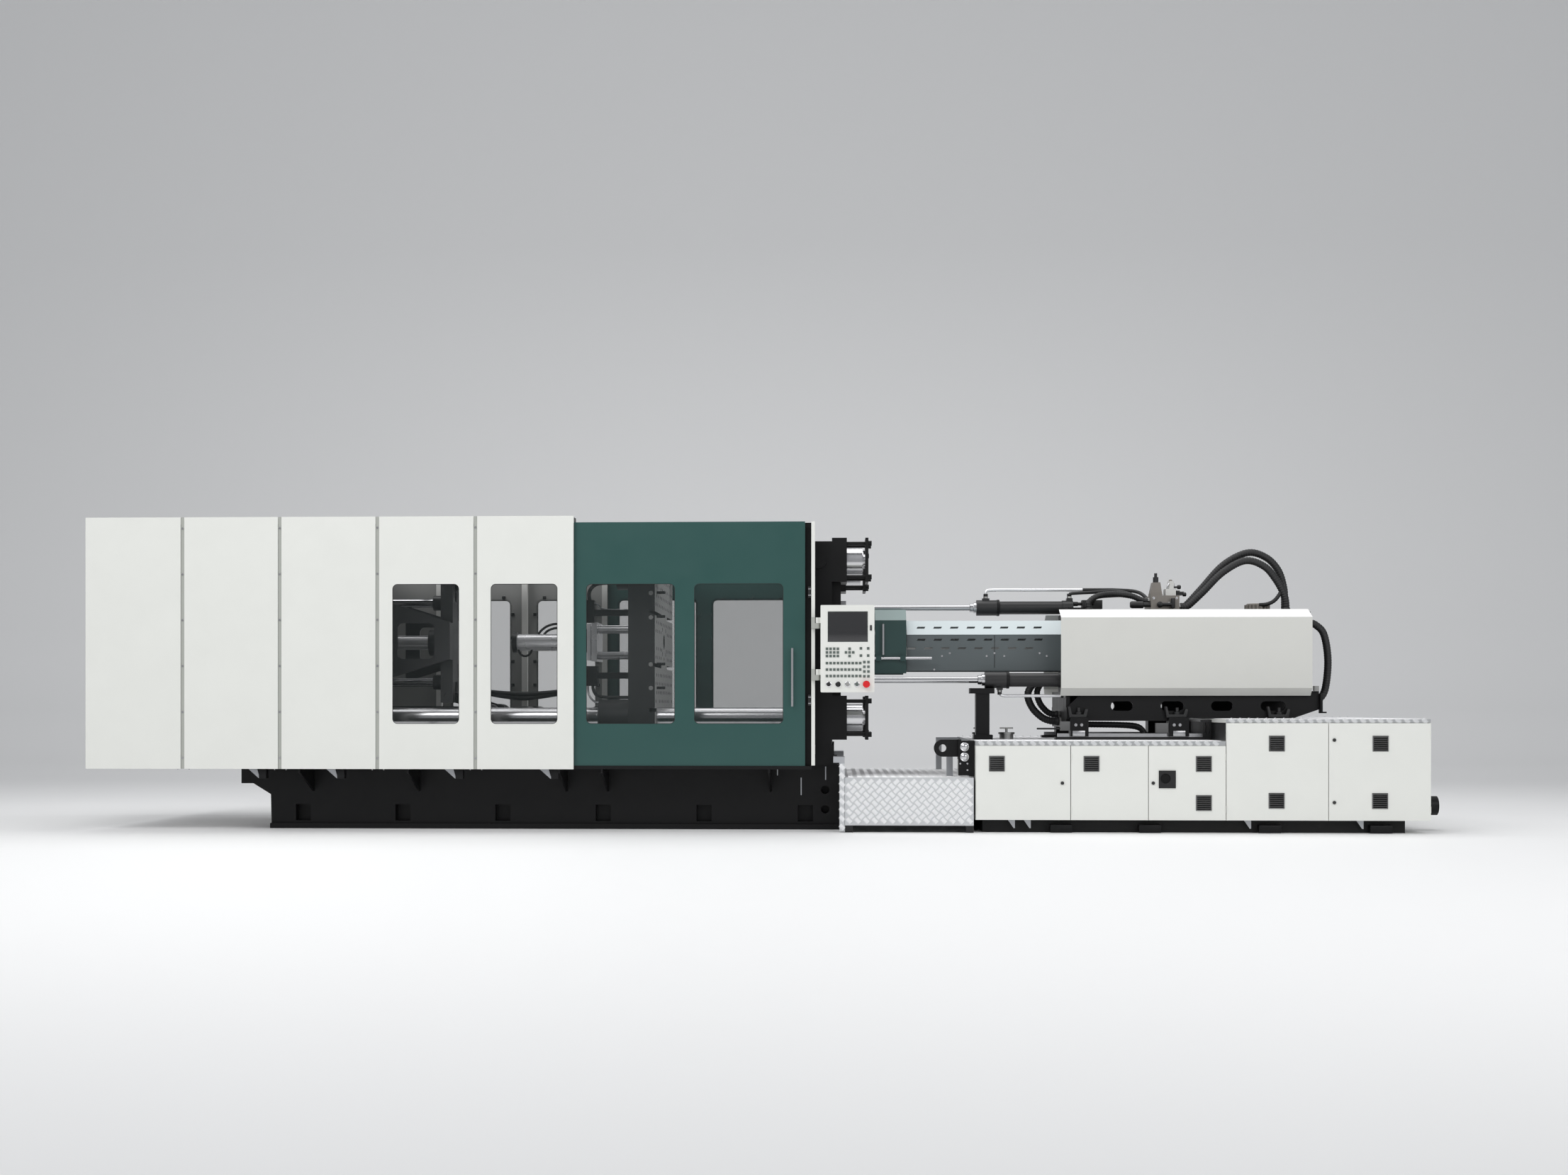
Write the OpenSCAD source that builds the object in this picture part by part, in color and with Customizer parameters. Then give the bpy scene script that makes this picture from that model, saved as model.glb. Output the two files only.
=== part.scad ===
// Horizontal toggle-clamp injection moulding machine.
// +X runs from the clamp to the injection unit, the operator stands on the -Y side and +Z is up.
// The origin is on the floor, on the machine's centreline, below the fixed platen's mould face.

/* [Machine] */
// Height of the clamping and injection axis above the floor
axis_h = 1500; // [1400:10:1700]
// Height of the clamp base's top above the floor
base_h = 510; // [440:5:540]
// Half of the width between the outer faces of the front and rear covers
cover_y = 1150; // [1110:5:1300]

/* [Platens and tie bars] */
// Distance of each tie bar's axis from the centreline, sideways and upright
tie_pitch = 620; // [580:5:640]
// Radius of a tie bar
tie_r = 80; // [60:1:90]
// Half side of the square platens
platen_half = 793; // [780:1:820]
// Thickness of the fixed platen's plate
fixed_t = 300; // [220:5:340]
// Depth of the fixed platen over its corner bosses
boss_depth = 417; // [380:1:460]
// Half side of the fixed platen's square corner bosses
boss_half = 173; // [130:1:180]
// Distance between the mould faces with the toggles locked
daylight = 1094; // [700:2:1200]
// Thickness of the moving platen's plate
moving_t = 212; // [160:2:260]
// Length of the bushing bosses behind the moving platen
bush_len = 246; // [150:2:260]
// Thickness of the tail platen's plate
tail_t = 400; // [250:5:450]
// Radius of the locating ring's bore in the fixed platen
locating_r = 62.5; // [50:0.5:80]
// Spacing of the mould fixing holes, sideways and upright
mould_hole_pitch = 840; // [600:10:900]
// Radius of a mould fixing hole
mould_hole_r = 13; // [8:0.5:18]

/* [Toggle linkage] */
// Distance between the two pins of a link
link_l = 600; // [560:5:620]
// Radius of a link pin
pin_r = 45; // [35:1:55]
// Radius of a link's eye
eye_r = 90; // [75:1:92]
// Thickness of a link plate
link_t = 80; // [60:1:84]
// Distance of the crosshead's link pins from the centreline
cross_pin_z = 441; // [420:1:445]
// Radius of a crosshead link pin
cross_pin_r = 22; // [16:1:26]
// Radius of the clamping cylinder's rod
clamp_rod_r = 60; // [45:1:70]
// Radius of the clamping cylinder
clamp_cyl_r = 165; // [150:1:190]
// Length of the clamping cylinder
clamp_cyl_l = 1100; // [900:10:1140]

/* [Ejector] */
// Radius of the ejector cylinder
ejector_r = 70; // [50:1:75]
// Length of the ejector cylinder
ejector_l = 630; // [500:5:640]
// Stroke of the ejector plate
ejector_stroke = 250; // [150:5:260]
// Radius of a knock-out rod
knock_r = 20; // [14:1:24]

/* [Clamp covers] */
// Height of the bottom edge of the clamp covers
cover_bottom = 484; // [470:1:490]
// Height of the clamp covers' top edge above the platens' top
cover_rise = 145; // [120:1:240]
// Width of one cover panel with its joint
panel_pitch = 764; // [740:1:790]
// Right end of the fixed cover panels, measured from the mould face
cover_right = -1689; // [-1760:1:-1680]
// Depth of a folded cover panel
panel_d = 28; // [20:1:29]
// Thickness of the sheet metal of covers and doors
sheet_t = 4; // [2:0.5:6]
// Width of a joint strip between two cover panels
strip_w = 26; // [16:1:40]
// Lower edge of the windows
window_bottom = 834; // [780:1:900]
// Upper edge of the windows
window_top = 1915; // [1800:1:1960]
// Corner radius of the windows
window_r = 40; // [20:1:80]
// Thickness of a window pane
pane_t = 6; // [4:0.5:8]

/* [Guard doors] */
// Length of a sliding guard door
door_l = 1814; // [1790:1:1850]
// Right edge of a closed guard door
door_right = 94; // [60:1:110]
// Depth of a guard door
door_d = 38; // [30:1:40]
// Travel of a guard door
door_travel = 1600; // [1400:10:1640]

/* [Operator panel] */
// Width of the operator panel
hmi_w = 410; // [380:1:440]
// Height of the operator panel
hmi_h = 664; // [620:1:700]
// Depth of the operator panel
hmi_d = 90; // [60:1:110]
// Left edge of the operator panel
hmi_x = 214; // [210:1:230]
// Height of the operator panel's lower edge
hmi_z = 1076; // [1040:1:1120]

/* [Platform] */
// Length of the checker-plate platform between clamp and injection base
platform_l = 985; // [940:1:990]
// Height of the platform
platform_h = 422; // [380:1:440]

/* [Injection base] */
// Left end of the injection base
cab_x = 1401; // [1395:1:1440]
// Length of the low cabinet
low_l = 1902; // [1880:2:1940]
// Length of the tall cabinet
tall_l = 1542; // [1500:2:1600]
// Half width of the cabinets
cab_y = 1100; // [1060:5:1140]
// Height of the low cabinet's deck
low_h = 702; // [690:1:710]
// Height of the tall cabinet's top
tall_h = 858; // [845:1:868]
// Height of the cabinets' lower edge
cab_z = 98; // [80:1:120]
// Thickness of the checker deck
deck_t = 33; // [20:1:40]
// Thickness of a cabinet door
cab_door_t = 20; // [14:1:24]
// Side of a louvred vent
vent_s = 118; // [90:1:130]

/* [Injection unit] */
// Distance of the linear rails from the centreline
rail_y = 500; // [460:5:520]
// Radius of the barrel
barrel_r = 100; // [80:1:110]
// Radius of the screw
screw_r = 50; // [40:1:60]
// Half width of the barrel cover
barrel_cover_y = 270; // [240:5:300]
// Left end of the barrel cover
barrel_cover_x = 905; // [880:1:960]
// Half width of the white injection covers
inj_y = 620; // [600:1:640]
// Left end of the white injection covers
inj_x = 2109; // [2090:1:2140]
// Length of the white injection covers
inj_l = 1965; // [1900:5:2000]
// Radius of a carriage cylinder's tube
car_tube_r = 55; // [45:1:60]
// Radius of a carriage cylinder's rod
car_rod_r = 25; // [20:1:30]
// Travel of the screw
screw_stroke = 450; // [300:10:460]
// Radius of the hopper flange's bolt circle
hopper_pcr = 105; // [90:1:110]

/* [Hidden] */
$fn = 48;

eps = 0.01;
seat = 0.3;        // gap left between a sliding piece and its way
run = 0.05;        // radial clearance of a running fit
side = 1;          // sideways clearance between two link plates
fit_l = 40;        // length of a hose fitting
boss_z = 80;       // height of a fitting's seat over a cylinder's axis
feed_r = 45;       // radius of the throat under the hopper
spigot_r = 55;     // radius of the hopper's spigot bore

// Places along X
moving_x = -daylight;
moving_back = moving_x - moving_t;
platen_pin_x = moving_back - 294;
tail_pin_x = platen_pin_x - 2 * link_l;
tail_x = tail_pin_x - 800;
tail_back = tail_x - tail_t;
cross_x = tail_pin_x + 2;
cross_t = 100;
cross_pin_x = cross_x - cross_t / 2;
cover_left = cover_right - 5 * panel_pitch + 3;
base_left = -4172;
base_right = 358;
low_right = cab_x + low_l;
cab_right = low_right + tall_l;

// Places along Z
way_h = 30;
way_z = base_h + way_h;
tie_low = axis_h - tie_pitch;
tie_high = axis_h + tie_pitch;
platen_low = axis_h - platen_half;
platen_high = axis_h + platen_half;
cover_top = platen_high + cover_rise;
door_z = cover_bottom + 27;
door_top = cover_top - 47;

// Colours
black_paint = [0.16, 0.16, 0.17];
white_paint = [0.89, 0.90, 0.88];
green_paint = [0.21, 0.34, 0.33];
bright_steel = [0.80, 0.80, 0.82];
dull_grey = [0.66, 0.67, 0.67];
dark_glass = [0.35, 0.40, 0.40, 0.4];

// Basic shapes placed by their limits
module bx(x0, x1, y0, y1, z0, z1) {
    translate([x0, y0, z0]) cube([x1 - x0, y1 - y0, z1 - z0]);
}
module cyl_x(x0, x1, y, z, r) {
    translate([x0, y, z]) rotate([0, 90, 0]) cylinder(h = x1 - x0, r = r);
}
module cyl_y(y0, y1, x, z, r) {
    translate([x, y1, z]) rotate([90, 0, 0]) cylinder(h = y1 - y0, r = r);
}
module cyl_z(z0, z1, x, y, r) {
    translate([x, y, z0]) cylinder(h = z1 - z0, r = r);
}
module both_sides() {
    children();
    mirror([0, 1, 0]) children();
}
module at_tie_bars() {
    for (sy = [-1, 1], sz = [-1, 1])
        translate([0, sy * tie_pitch, axis_h + sz * tie_pitch]) children();
}
// Outline in X and Z, extruded sideways from y0 to y1
module plate_y(y0, y1) {
    translate([0, y1, 0]) rotate([90, 0, 0]) linear_extrude(y1 - y0) children();
}
module rounded(x0, x1, z0, z1, r) {
    translate([x0 + r, z0]) square([x1 - x0 - 2 * r, z1 - z0]);
    translate([x0, z0 + r]) square([x1 - x0, z1 - z0 - 2 * r]);
    for (x = [x0 + r, x1 - r], z = [z0 + r, z1 - r])
        translate([x, z]) circle(r);
}

// A hose is swept along a smooth curve through its own points
function spline(p, i, t) =
    let (a = p[max(i - 1, 0)], b = p[i], c = p[i + 1], d = p[min(i + 2, len(p) - 1)])
    0.5 * (2 * b + (c - a) * t + (2 * a - 5 * b + 4 * c - d) * t * t
        + (3 * b - a - 3 * c + d) * t * t * t);
function smooth_path(p, steps) =
    [for (i = [0 : len(p) - 2], s = [0 : steps - 1]) spline(p, i, s / steps), p[len(p) - 1]];
function unit(v) = v / norm(v);
function ring(path, i, r, n, across) =
    let (
        t = unit(path[min(i + 1, len(path) - 1)] - path[max(i - 1, 0)]),
        u = unit(cross(across, t)),
        w = cross(t, u)
    ) [for (k = [0 : n - 1]) path[i] + r * (cos(360 * k / n) * u + sin(360 * k / n) * w)];
module hose(points, r, steps = 3, n = 8, across = [0, 1, 0]) {
    path = smooth_path(points, steps);
    m = len(path);
    rings = [for (i = [0 : m - 1]) each ring(path, i, r, n, across)];
    walls = [for (i = [0 : m - 2], k = [0 : n - 1])
        [i * n + k, i * n + (k + 1) % n, (i + 1) * n + (k + 1) % n, (i + 1) * n + k]];
    polyhedron(rings, concat([for (w = walls) [w[3], w[2], w[1], w[0]]],
        [[for (k = [0 : n - 1]) k]], [[for (k = [n - 1 : -1 : 0]) (m - 1) * n + k]]));
}

// Clamp base, a welded frame with recessed pockets along its lower edge
pocket_x = [for (i = [0 : 5]) -3975 + i * 801];
outrigger_x = [-3840, -2990, -1810, -1480, -190];
module base_outline() {
    polygon([[-4415, base_h], [-4415, 355], [-4318, 355], [-4177, 268],
        [base_left, 40], [base_right, 40], [base_right, base_h]]);
}
module clamp_base() color(black_paint) {
    difference() {
        union() {
            both_sides() difference() {
                plate_y(-720, -560) base_outline();
                for (x = pocket_x)
                    bx(x, x + 120, -721, -640, 60, 190);
                for (z = [157, 311])
                    cyl_y(-721, -600, 246, z, 33);
                for (x = [for (i = [0 : 4]) -3740 + i * 801])
                    bx(x, x + 420, -701, -559, 90, 380);
            }
            both_sides() bx(base_left, base_right, -760, -520, 0, 40);
            for (x = [-4100, -3000, -2000, -1000, -60])
                bx(x, x + 160, -560 - eps, 560 + eps, 0, 420);
            both_sides() bx(-4150, 0, -705, -545, base_h - eps, way_z);
            both_sides() for (x = outrigger_x)
                plate_outrigger(x);
        }
        for (x = [-3700, -2400, -900, 220])
            both_sides() cyl_z(-1, 41, x, -740, 11);
    }
}
module plate_outrigger(x) {
    translate([x, 0, 0]) rotate([90, 0, 90]) linear_extrude(14)
        polygon([[-720 + eps, cover_bottom], [-cover_y + panel_d, cover_bottom],
            [-cover_y + panel_d, cover_bottom - 30], [-720 + eps, cover_bottom - 190]]);
}

// Fixed platen
module fixed_platen() color(black_paint) difference() {
    union() {
        bx(0, fixed_t, -platen_half, platen_half, axis_h - 834, axis_h + platen_half - 27);
        at_tie_bars() bx(fixed_t - eps, boss_depth, -boss_half, boss_half, -boss_half, boss_half);
        for (sz = [-1, 1])
            bx(fixed_t - eps, fixed_t + 70, -450, 450, axis_h + sz * 560 - 40, axis_h + sz * 560 + 40);
        both_sides() bx(fixed_t - eps, fixed_t + 70, -690, -560, axis_h - 460, axis_h + 460);
        both_sides() {
            cyl_y(-platen_half - 30, -platen_half + eps, 194, tie_high - 11, 60);
            bx(170, 315, -platen_half, -540, base_h, axis_h - 834 + eps);
            bx(150, 340, -platen_half, -540, base_h, base_h + 45);
        }
    }
    at_tie_bars() cyl_x(-1, boss_depth + 1, 0, 0, tie_r + run);
    cyl_x(-1, 40, 0, axis_h, locating_r);
    cyl_x(39, 150, 0, axis_h, 45);
    translate([149, 0, axis_h]) rotate([0, 90, 0]) cylinder(h = 153, r1 = 120, r2 = 240);
    for (sy = [-1, 1], sz = [-1, 1])
        translate([0, sy * mould_hole_pitch / 2, axis_h + sz * mould_hole_pitch / 2])
            cyl_x(-1, 60, 0, 0, mould_hole_r);
}

// Tie bars with a turned neck at each nut
module tie_bars() color(bright_steel) at_tie_bars() {
    cyl_x(-4400, boss_depth + 130, 0, 0, tie_r);
    cyl_x(boss_depth + 130 - eps, boss_depth + 145, 0, 0, tie_r - 22);
}
nut_x = boss_depth;
nut_l = 123;
nut_r = 108;
module tie_bar_nuts() color(bright_steel) at_tie_bars() difference() {
    cyl_x(nut_x, nut_x + nut_l, 0, 0, nut_r);
    cyl_x(nut_x - 1, nut_x + nut_l + 1, 0, 0, tie_r + run);
}
// Square plates that clamp the nuts, each held by four long bolts
module nut_clamps() color(black_paint) at_tie_bars() {
    plate_x = boss_depth + 145;
    difference() {
        bx(plate_x, plate_x + 24, -boss_half, boss_half, -boss_half, boss_half);
        cyl_x(plate_x - 1, plate_x + 25, 0, 0, 30);
    }
    for (sy = [-1, 1], sz = [-1, 1]) {
        cyl_x(boss_depth, plate_x + eps, sy * 132, sz * 132, 13);
        cyl_x(plate_x + 24 - eps, plate_x + 50, sy * 132, sz * 132, 20);
    }
}

// Sideways planes of the link plates, from the centreline outwards
plane_1 = 140;
plane_2 = plane_1 + link_t + side;
plane_3 = plane_2 + link_t + side;
module eye_plate(y, x, z, reach, r) {
    // one lug with a round end at (x, z), reaching along X to reach
    plate_y(-y - link_t, -y) {
        translate([x, z]) circle(r);
        translate([min(x, reach), z - r]) square([abs(reach - x), 2 * r]);
    }
}

// Tail platen, a box casting with long fork lugs for the rear links
module tail_platen() color(black_paint) {
    tail_casting();
    for (sz = [-1, 1]) both_sides()
        cyl_y(-plane_3 - link_t - 8, -plane_1 + 8, tail_pin_x, axis_h + sz * tie_pitch, pin_r);
}
module tail_casting() difference() {
    union() {
        bx(tail_back, tail_x, -platen_half, platen_half, platen_low, axis_h + platen_half);
        for (sz = [-1, 1]) both_sides() {
            for (y = [plane_1, plane_3])
                plate_y(-y - link_t, -y) {
                    translate([tail_pin_x, axis_h + sz * tie_pitch]) circle(eye_r);
                    polygon([[tail_x - eps, axis_h + sz * (tie_pitch - eye_r)],
                        [tail_pin_x, axis_h + sz * (tie_pitch - eye_r)],
                        [tail_pin_x, axis_h + sz * (tie_pitch + eye_r)],
                        [tail_x - eps, axis_h + sz * platen_half]]);
                }
            bx(tail_x - eps, tail_pin_x - 200, -plane_3 - eps, -plane_1 - link_t + eps,
                axis_h + sz * (tie_pitch + 20) - 25, axis_h + sz * (tie_pitch + 20) + 25);
        }
        both_sides() {
            bx(tail_back + 40, tail_x - 40, -platen_half, -545, way_z + seat, platen_low + eps);
        }
    }
    at_tie_bars() cyl_x(tail_back - 1, tail_x + 1, 0, 0, tie_r + run);
    cyl_x(tail_back - 1, tail_x + 1, 0, axis_h, clamp_rod_r + 30);
    for (sz = [-1, 1])
        cyl_y(-500, 500, tail_pin_x, axis_h + sz * tie_pitch, pin_r);
}
module adjusting_nuts() color(bright_steel) {
    at_tie_bars() difference() {
        union() {
            cyl_x(tail_back - 110, tail_back, 0, 0, 135);
            cyl_x(tail_back - 75, tail_back - 35, 0, 0, 158);
        }
        cyl_x(tail_back - 111, tail_back + 1, 0, 0, tie_r + run);
    }
}
module clamp_cylinder() color(black_paint) difference() {
    union() {
        cyl_x(tail_back - clamp_cyl_l, tail_back - 40, 0, axis_h, clamp_cyl_r);
        cyl_x(tail_back - 50, tail_back, 0, axis_h, clamp_cyl_r + 70);
        cyl_x(tail_back - clamp_cyl_l - 60, tail_back - clamp_cyl_l + eps, 0, axis_h, clamp_cyl_r + 25);
    }
    cyl_x(tail_back - clamp_cyl_l, tail_back - 50, 0, axis_h, clamp_cyl_r - 40);
    cyl_x(tail_back - 51, tail_back + 1, 0, axis_h, clamp_rod_r + run);
}
guide_r = 35;
guide_z = 330;
module crosshead_guides() color(bright_steel)
    for (sz = [-1, 1])
        cyl_x(tail_x, cross_x + 90, 0, axis_h + sz * guide_z, guide_r);

// Crosshead: a slotted face plate with cheeks, a hub and tapered side plates
cross_half_z = 500;
third_x = 300;
third_z = 60;
cross_link_y = plane_1 + 6;
cross_link_t = link_t - 12;
module crosshead() color(black_paint) {
    difference() {
        union() {
            bx(cross_x - cross_t, cross_x, -430, 430, axis_h - 150, axis_h + 150);
            bx(cross_x - cross_t, cross_x, -310, 310, axis_h - cross_half_z, axis_h + cross_half_z);
            cyl_x(cross_x - 250, cross_x - eps, 0, axis_h, 110);
            for (sz = [-1, 1])
                cyl_x(cross_x - 220, cross_x - eps, 0, axis_h + sz * guide_z, 62);
        }
        for (sz = [-1, 1]) both_sides() {
            bx(cross_x - cross_t - 1, cross_x + 1, -cross_link_y - cross_link_t - 1, -cross_link_y + 1,
                axis_h + min(sz * 330, sz * 505), axis_h + max(sz * 330, sz * 505));
            bx(cross_x - cross_t - 1, cross_x + 1, -110, -60,
                axis_h + min(sz * 180, sz * 440), axis_h + max(sz * 180, sz * 440));
        }
        for (sz = [-1, 1]) {
            cyl_x(cross_x - 221, cross_x + 1, 0, axis_h + sz * guide_z, guide_r + run);
            cyl_y(-320, 320, cross_pin_x, axis_h + sz * cross_pin_z, cross_pin_r);
        }
    }
    both_sides() plate_y(-430, -400) difference() {
        polygon([[cross_x - 552, axis_h + 330], [cross_x, axis_h + 156],
            [cross_x, axis_h - 148], [cross_x - 552, axis_h - 320]]);
        rounded(cross_x - 430, cross_x - 127, axis_h - 145, axis_h + 145, 45);
    }
    both_sides() for (sz = [-1, 1])
        cyl_y(-300, -70, cross_pin_x, axis_h + sz * cross_pin_z, cross_pin_r);
    cyl_x(tail_back - 600, cross_x - 249, 0, axis_h, clamp_rod_r);
    cyl_x(tail_back - 640, tail_back - 600 + eps, 0, axis_h, clamp_cyl_r - 40 - seat);
}
// A crosshead link runs from the crosshead's pin to the rear link's inner side
module crosshead_links(sz) color(black_paint) both_sides() difference() {
    dx = tail_pin_x + third_x - cross_pin_x;
    dz = tie_pitch - third_z - cross_pin_z;
    union() {
        plate_y(-cross_link_y - cross_link_t, -cross_link_y)
            translate([cross_pin_x, axis_h + sz * cross_pin_z]) {
                circle(50);
                translate([dx, sz * dz]) circle(50);
                rotate(sz * atan(dz / dx)) translate([0, -40]) square([norm([dx, dz]), 80]);
            }
        cyl_y(-plane_2 + 0.5, -cross_link_y - cross_link_t + eps, cross_pin_x + dx,
            axis_h + sz * (cross_pin_z + dz), 30);
    }
    cyl_y(-400, 400, cross_pin_x, axis_h + sz * cross_pin_z, cross_pin_r + run);
}
module upper_crosshead_links() crosshead_links(1);
module lower_crosshead_links() crosshead_links(-1);

// Toggle links, upper pair and lower pair
knee_x = tail_pin_x + link_l;
module link_outline(x, z) {
    translate([x, z]) circle(eye_r);
    translate([x + link_l, z]) circle(eye_r);
    translate([x, z - 62]) square([link_l, 124]);
}
module rear_links(sz) color(black_paint) {
    z = axis_h + sz * tie_pitch;
    both_sides() {
        difference() {
            plate_y(-plane_2 - link_t, -plane_2) difference() {
                union() {
                    link_outline(tail_pin_x, z);
                    translate([tail_pin_x + third_x, z - sz * 30]) circle(78);
                }
            }
            cyl_y(-400, 400, tail_pin_x, z, pin_r + run);
        }
        cyl_y(-plane_3 - link_t - 8, -plane_1 + 8, knee_x, z, pin_r);
    }
}
module front_links(sz) color(black_paint) {
    z = axis_h + sz * tie_pitch;
    both_sides() difference() {
        for (y = [plane_1, plane_3])
            plate_y(-y - link_t, -y) link_outline(knee_x, z);
        cyl_y(-500, 500, knee_x, z, pin_r + run);
        cyl_y(-500, 500, platen_pin_x, z, pin_r + run);
    }
}
module upper_rear_links() rear_links(1);
module lower_rear_links() rear_links(-1);
module upper_front_links() front_links(1);
module lower_front_links() front_links(-1);

// Moving platen with its bushing bosses, link lugs, pins and sliding shoes
module moving_platen() color(black_paint) {
    difference() {
        union() {
            bx(moving_back, moving_x, -platen_half, platen_half, platen_low, axis_h + platen_half);
            at_tie_bars() cyl_x(moving_back - bush_len, moving_back + eps, 0, 0, 145);
            for (sz = [-1, 1]) both_sides()
                eye_plate(plane_2, platen_pin_x, axis_h + sz * tie_pitch, moving_back + eps, eye_r);
            both_sides()
                bx(moving_back - 150, moving_x - 30, -platen_half, -545, way_z + seat, platen_low + eps);
        }
        at_tie_bars() cyl_x(moving_back - bush_len - 1, moving_x + 1, 0, 0, tie_r + run);
        for (sy = [-1, 1], sz = [-1, 1]) {
            cyl_x(moving_back - 1, moving_x + 1, sy * 150, axis_h + sz * 100, knock_r + 1);
            cyl_x(moving_x - 60, moving_x + 1, sy * mould_hole_pitch / 2,
                axis_h + sz * mould_hole_pitch / 2, mould_hole_r);
        }
        cyl_x(moving_x - 40, moving_x + 1, 0, axis_h, locating_r);
        for (z = [-560, -205, 205, 560], sy = [-1, 1])
            bx(moving_x - 50, moving_x + 1, sy < 0 ? -platen_half - 1 : 250,
                sy < 0 ? -250 : platen_half + 1, axis_h + z - 15, axis_h + z + 15);
    }
    for (sz = [-1, 1]) both_sides()
        cyl_y(-plane_3 - link_t - 8, -plane_1 + 8, platen_pin_x, axis_h + sz * tie_pitch, pin_r);
}

// Ejector: a rear plate on four rods, the cylinder behind it and the sliding plate
eject_rear = moving_back - 414;
module ejector_frame() {
    difference() {
        bx(eject_rear, eject_rear + 30, -130, 130, axis_h - 150, axis_h + 150);
        cyl_x(eject_rear - 1, eject_rear + 31, 0, axis_h, 31);
    }
    for (sy = [-1, 1], sz = [-1, 1])
        cyl_x(eject_rear + 30 - eps, moving_back, sy * 95, axis_h + sz * 125, 14);
}
module ejector_cylinder() color(bright_steel) {
    ejector_frame();
    ejector_tube();
}
module ejector_tube() difference() {
    union() {
        cyl_x(eject_rear - ejector_l, eject_rear, 0, axis_h, ejector_r);
        cyl_x(eject_rear - ejector_l - 2, eject_rear - ejector_l + 36, 0, axis_h, ejector_r + 16);
        cyl_x(eject_rear - 36, eject_rear, 0, axis_h, ejector_r + 16);
    }
    cyl_x(eject_rear - ejector_l + 40, eject_rear + 1, 0, axis_h, 50);
}
module ejector_plate() color(bright_steel) {
    x = eject_rear + 45;
    difference() {
        bx(x, x + 45, -190, 190, axis_h - 160, axis_h + 160);
        for (sy = [-1, 1], sz = [-1, 1])
            cyl_x(x - 1, x + 46, sy * 95, axis_h + sz * 125, 14 + run);
    }
    cyl_x(eject_rear - 560, x + eps, 0, axis_h, 30);
    cyl_x(eject_rear - 560, eject_rear - 520, 0, axis_h, 50 - seat);
    for (sy = [-1, 1], sz = [-1, 1])
        cyl_x(x + 45 - eps, moving_x - 16, sy * 150, axis_h + sz * 100, knock_r);
}

// Frame that carries the covers and guides the guard doors
frame_y = 1060;
post_w = 50;
door_front = cover_y - 38;
door_back = door_front - door_d;
joint_x = [for (i = [1 : 4]) cover_left + i * panel_pitch - 3];
rail_x1 = 143;
module cover_frame() color(black_paint) {
    both_sides() {
        bx(cover_left + 60, cover_right, -cover_y + panel_d, -frame_y + post_w,
            cover_bottom, cover_bottom + 22);
        bx(cover_right - eps, rail_x1, -cover_y + panel_d, -frame_y + post_w, cover_bottom, door_z - seat);
        bx(cover_left + 60, cover_right, -cover_y + panel_d, -frame_y + post_w,
            cover_top - 42, cover_top - 8);
        bx(cover_right - eps, rail_x1, -door_back + 4, -frame_y + post_w, door_top - 50, door_top - 6);
        for (x = concat([cover_left + 60], joint_x, [cover_right - post_w]))
            bx(x, x + post_w, -frame_y, -frame_y + post_w, cover_bottom + 22 - eps, cover_top - 42 + eps);
    }
    for (x = concat([cover_left + 60], joint_x, [cover_right - post_w]))
        bx(x, x + post_w, -frame_y + post_w - eps, frame_y - post_w + eps, cover_top - 92, cover_top - 42);
    bx(rail_x1 - 60, rail_x1 - 10, -frame_y + post_w - eps, frame_y - post_w + eps,
        door_top - 50, door_top - 6);
    both_sides() for (z = [platen_low + 40, platen_high - 100])
        bx(rail_x1 - 60, rail_x1 - 20, -frame_y + post_w - eps, -platen_half, z - 20, z + 20);
    both_sides()
        bx(rail_x1 - 60, rail_x1, -frame_y, -frame_y + post_w, door_z - seat - eps, door_top - 50 + eps);
}

// Folded cover panels, two of the five with a window
window_w = [519, 518];
window_x = [-3096, -2331];
module cover_pan(x0, x1, z0, z1, y0, d) {
    difference() {
        bx(x0, x1, -y0, -y0 + d, z0, z1);
        bx(x0 + sheet_t, x1 - sheet_t, -y0 + sheet_t, -y0 + d + 1, z0 + sheet_t, z1 - sheet_t);
    }
}
module window_cut(x0, x1, y0) {
    plate_y(-y0 - 1, -y0 + 60) rounded(x0, x1, window_bottom, window_top, window_r);
}
module pane(x0, x1, y0) {
    plate_y(-y0 + sheet_t, -y0 + sheet_t + pane_t)
        rounded(x0 - 14, x1 + 14, window_bottom - 14, window_top + 14, window_r + 14);
}
module side_covers() difference() {
    for (i = [0 : 4])
        cover_pan(cover_left + i * panel_pitch + (i == 0 ? 0 : strip_w / 2 + 1),
            cover_left + (i + 1) * panel_pitch - (i == 4 ? 3 : strip_w / 2 + 1),
            cover_bottom, cover_top, cover_y, panel_d);
    for (i = [0, 1])
        window_cut(window_x[i], window_x[i] + window_w[i], cover_y);
}
module cover_panels() color(white_paint) {
    both_sides() side_covers();
    end_cover();
}
module cover_windows() color(dark_glass) both_sides() for (i = [0, 1])
    pane(window_x[i], window_x[i] + window_w[i], cover_y);
module end_cover() difference() {
    bx(cover_left, cover_left + 40, -cover_y + panel_d, cover_y - panel_d, cover_bottom, cover_top);
    bx(cover_left + sheet_t, cover_left + 41, -cover_y + panel_d + sheet_t, cover_y - panel_d - sheet_t,
        cover_bottom + sheet_t, cover_top - sheet_t);
}
strip_screw_z = [for (i = [0 : 5]) 569 + i * 356.4];
module joint_strips() color(dull_grey) both_sides() for (i = [1 : 4]) {
    x = cover_left + i * panel_pitch;
    bx(x - strip_w / 2, x + strip_w / 2, -cover_y + 5, -cover_y + panel_d, cover_bottom, cover_top);
    for (z = strip_screw_z)
        cyl_y(-cover_y + 1, -cover_y + 5 + eps, x, z, 8);
}

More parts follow.
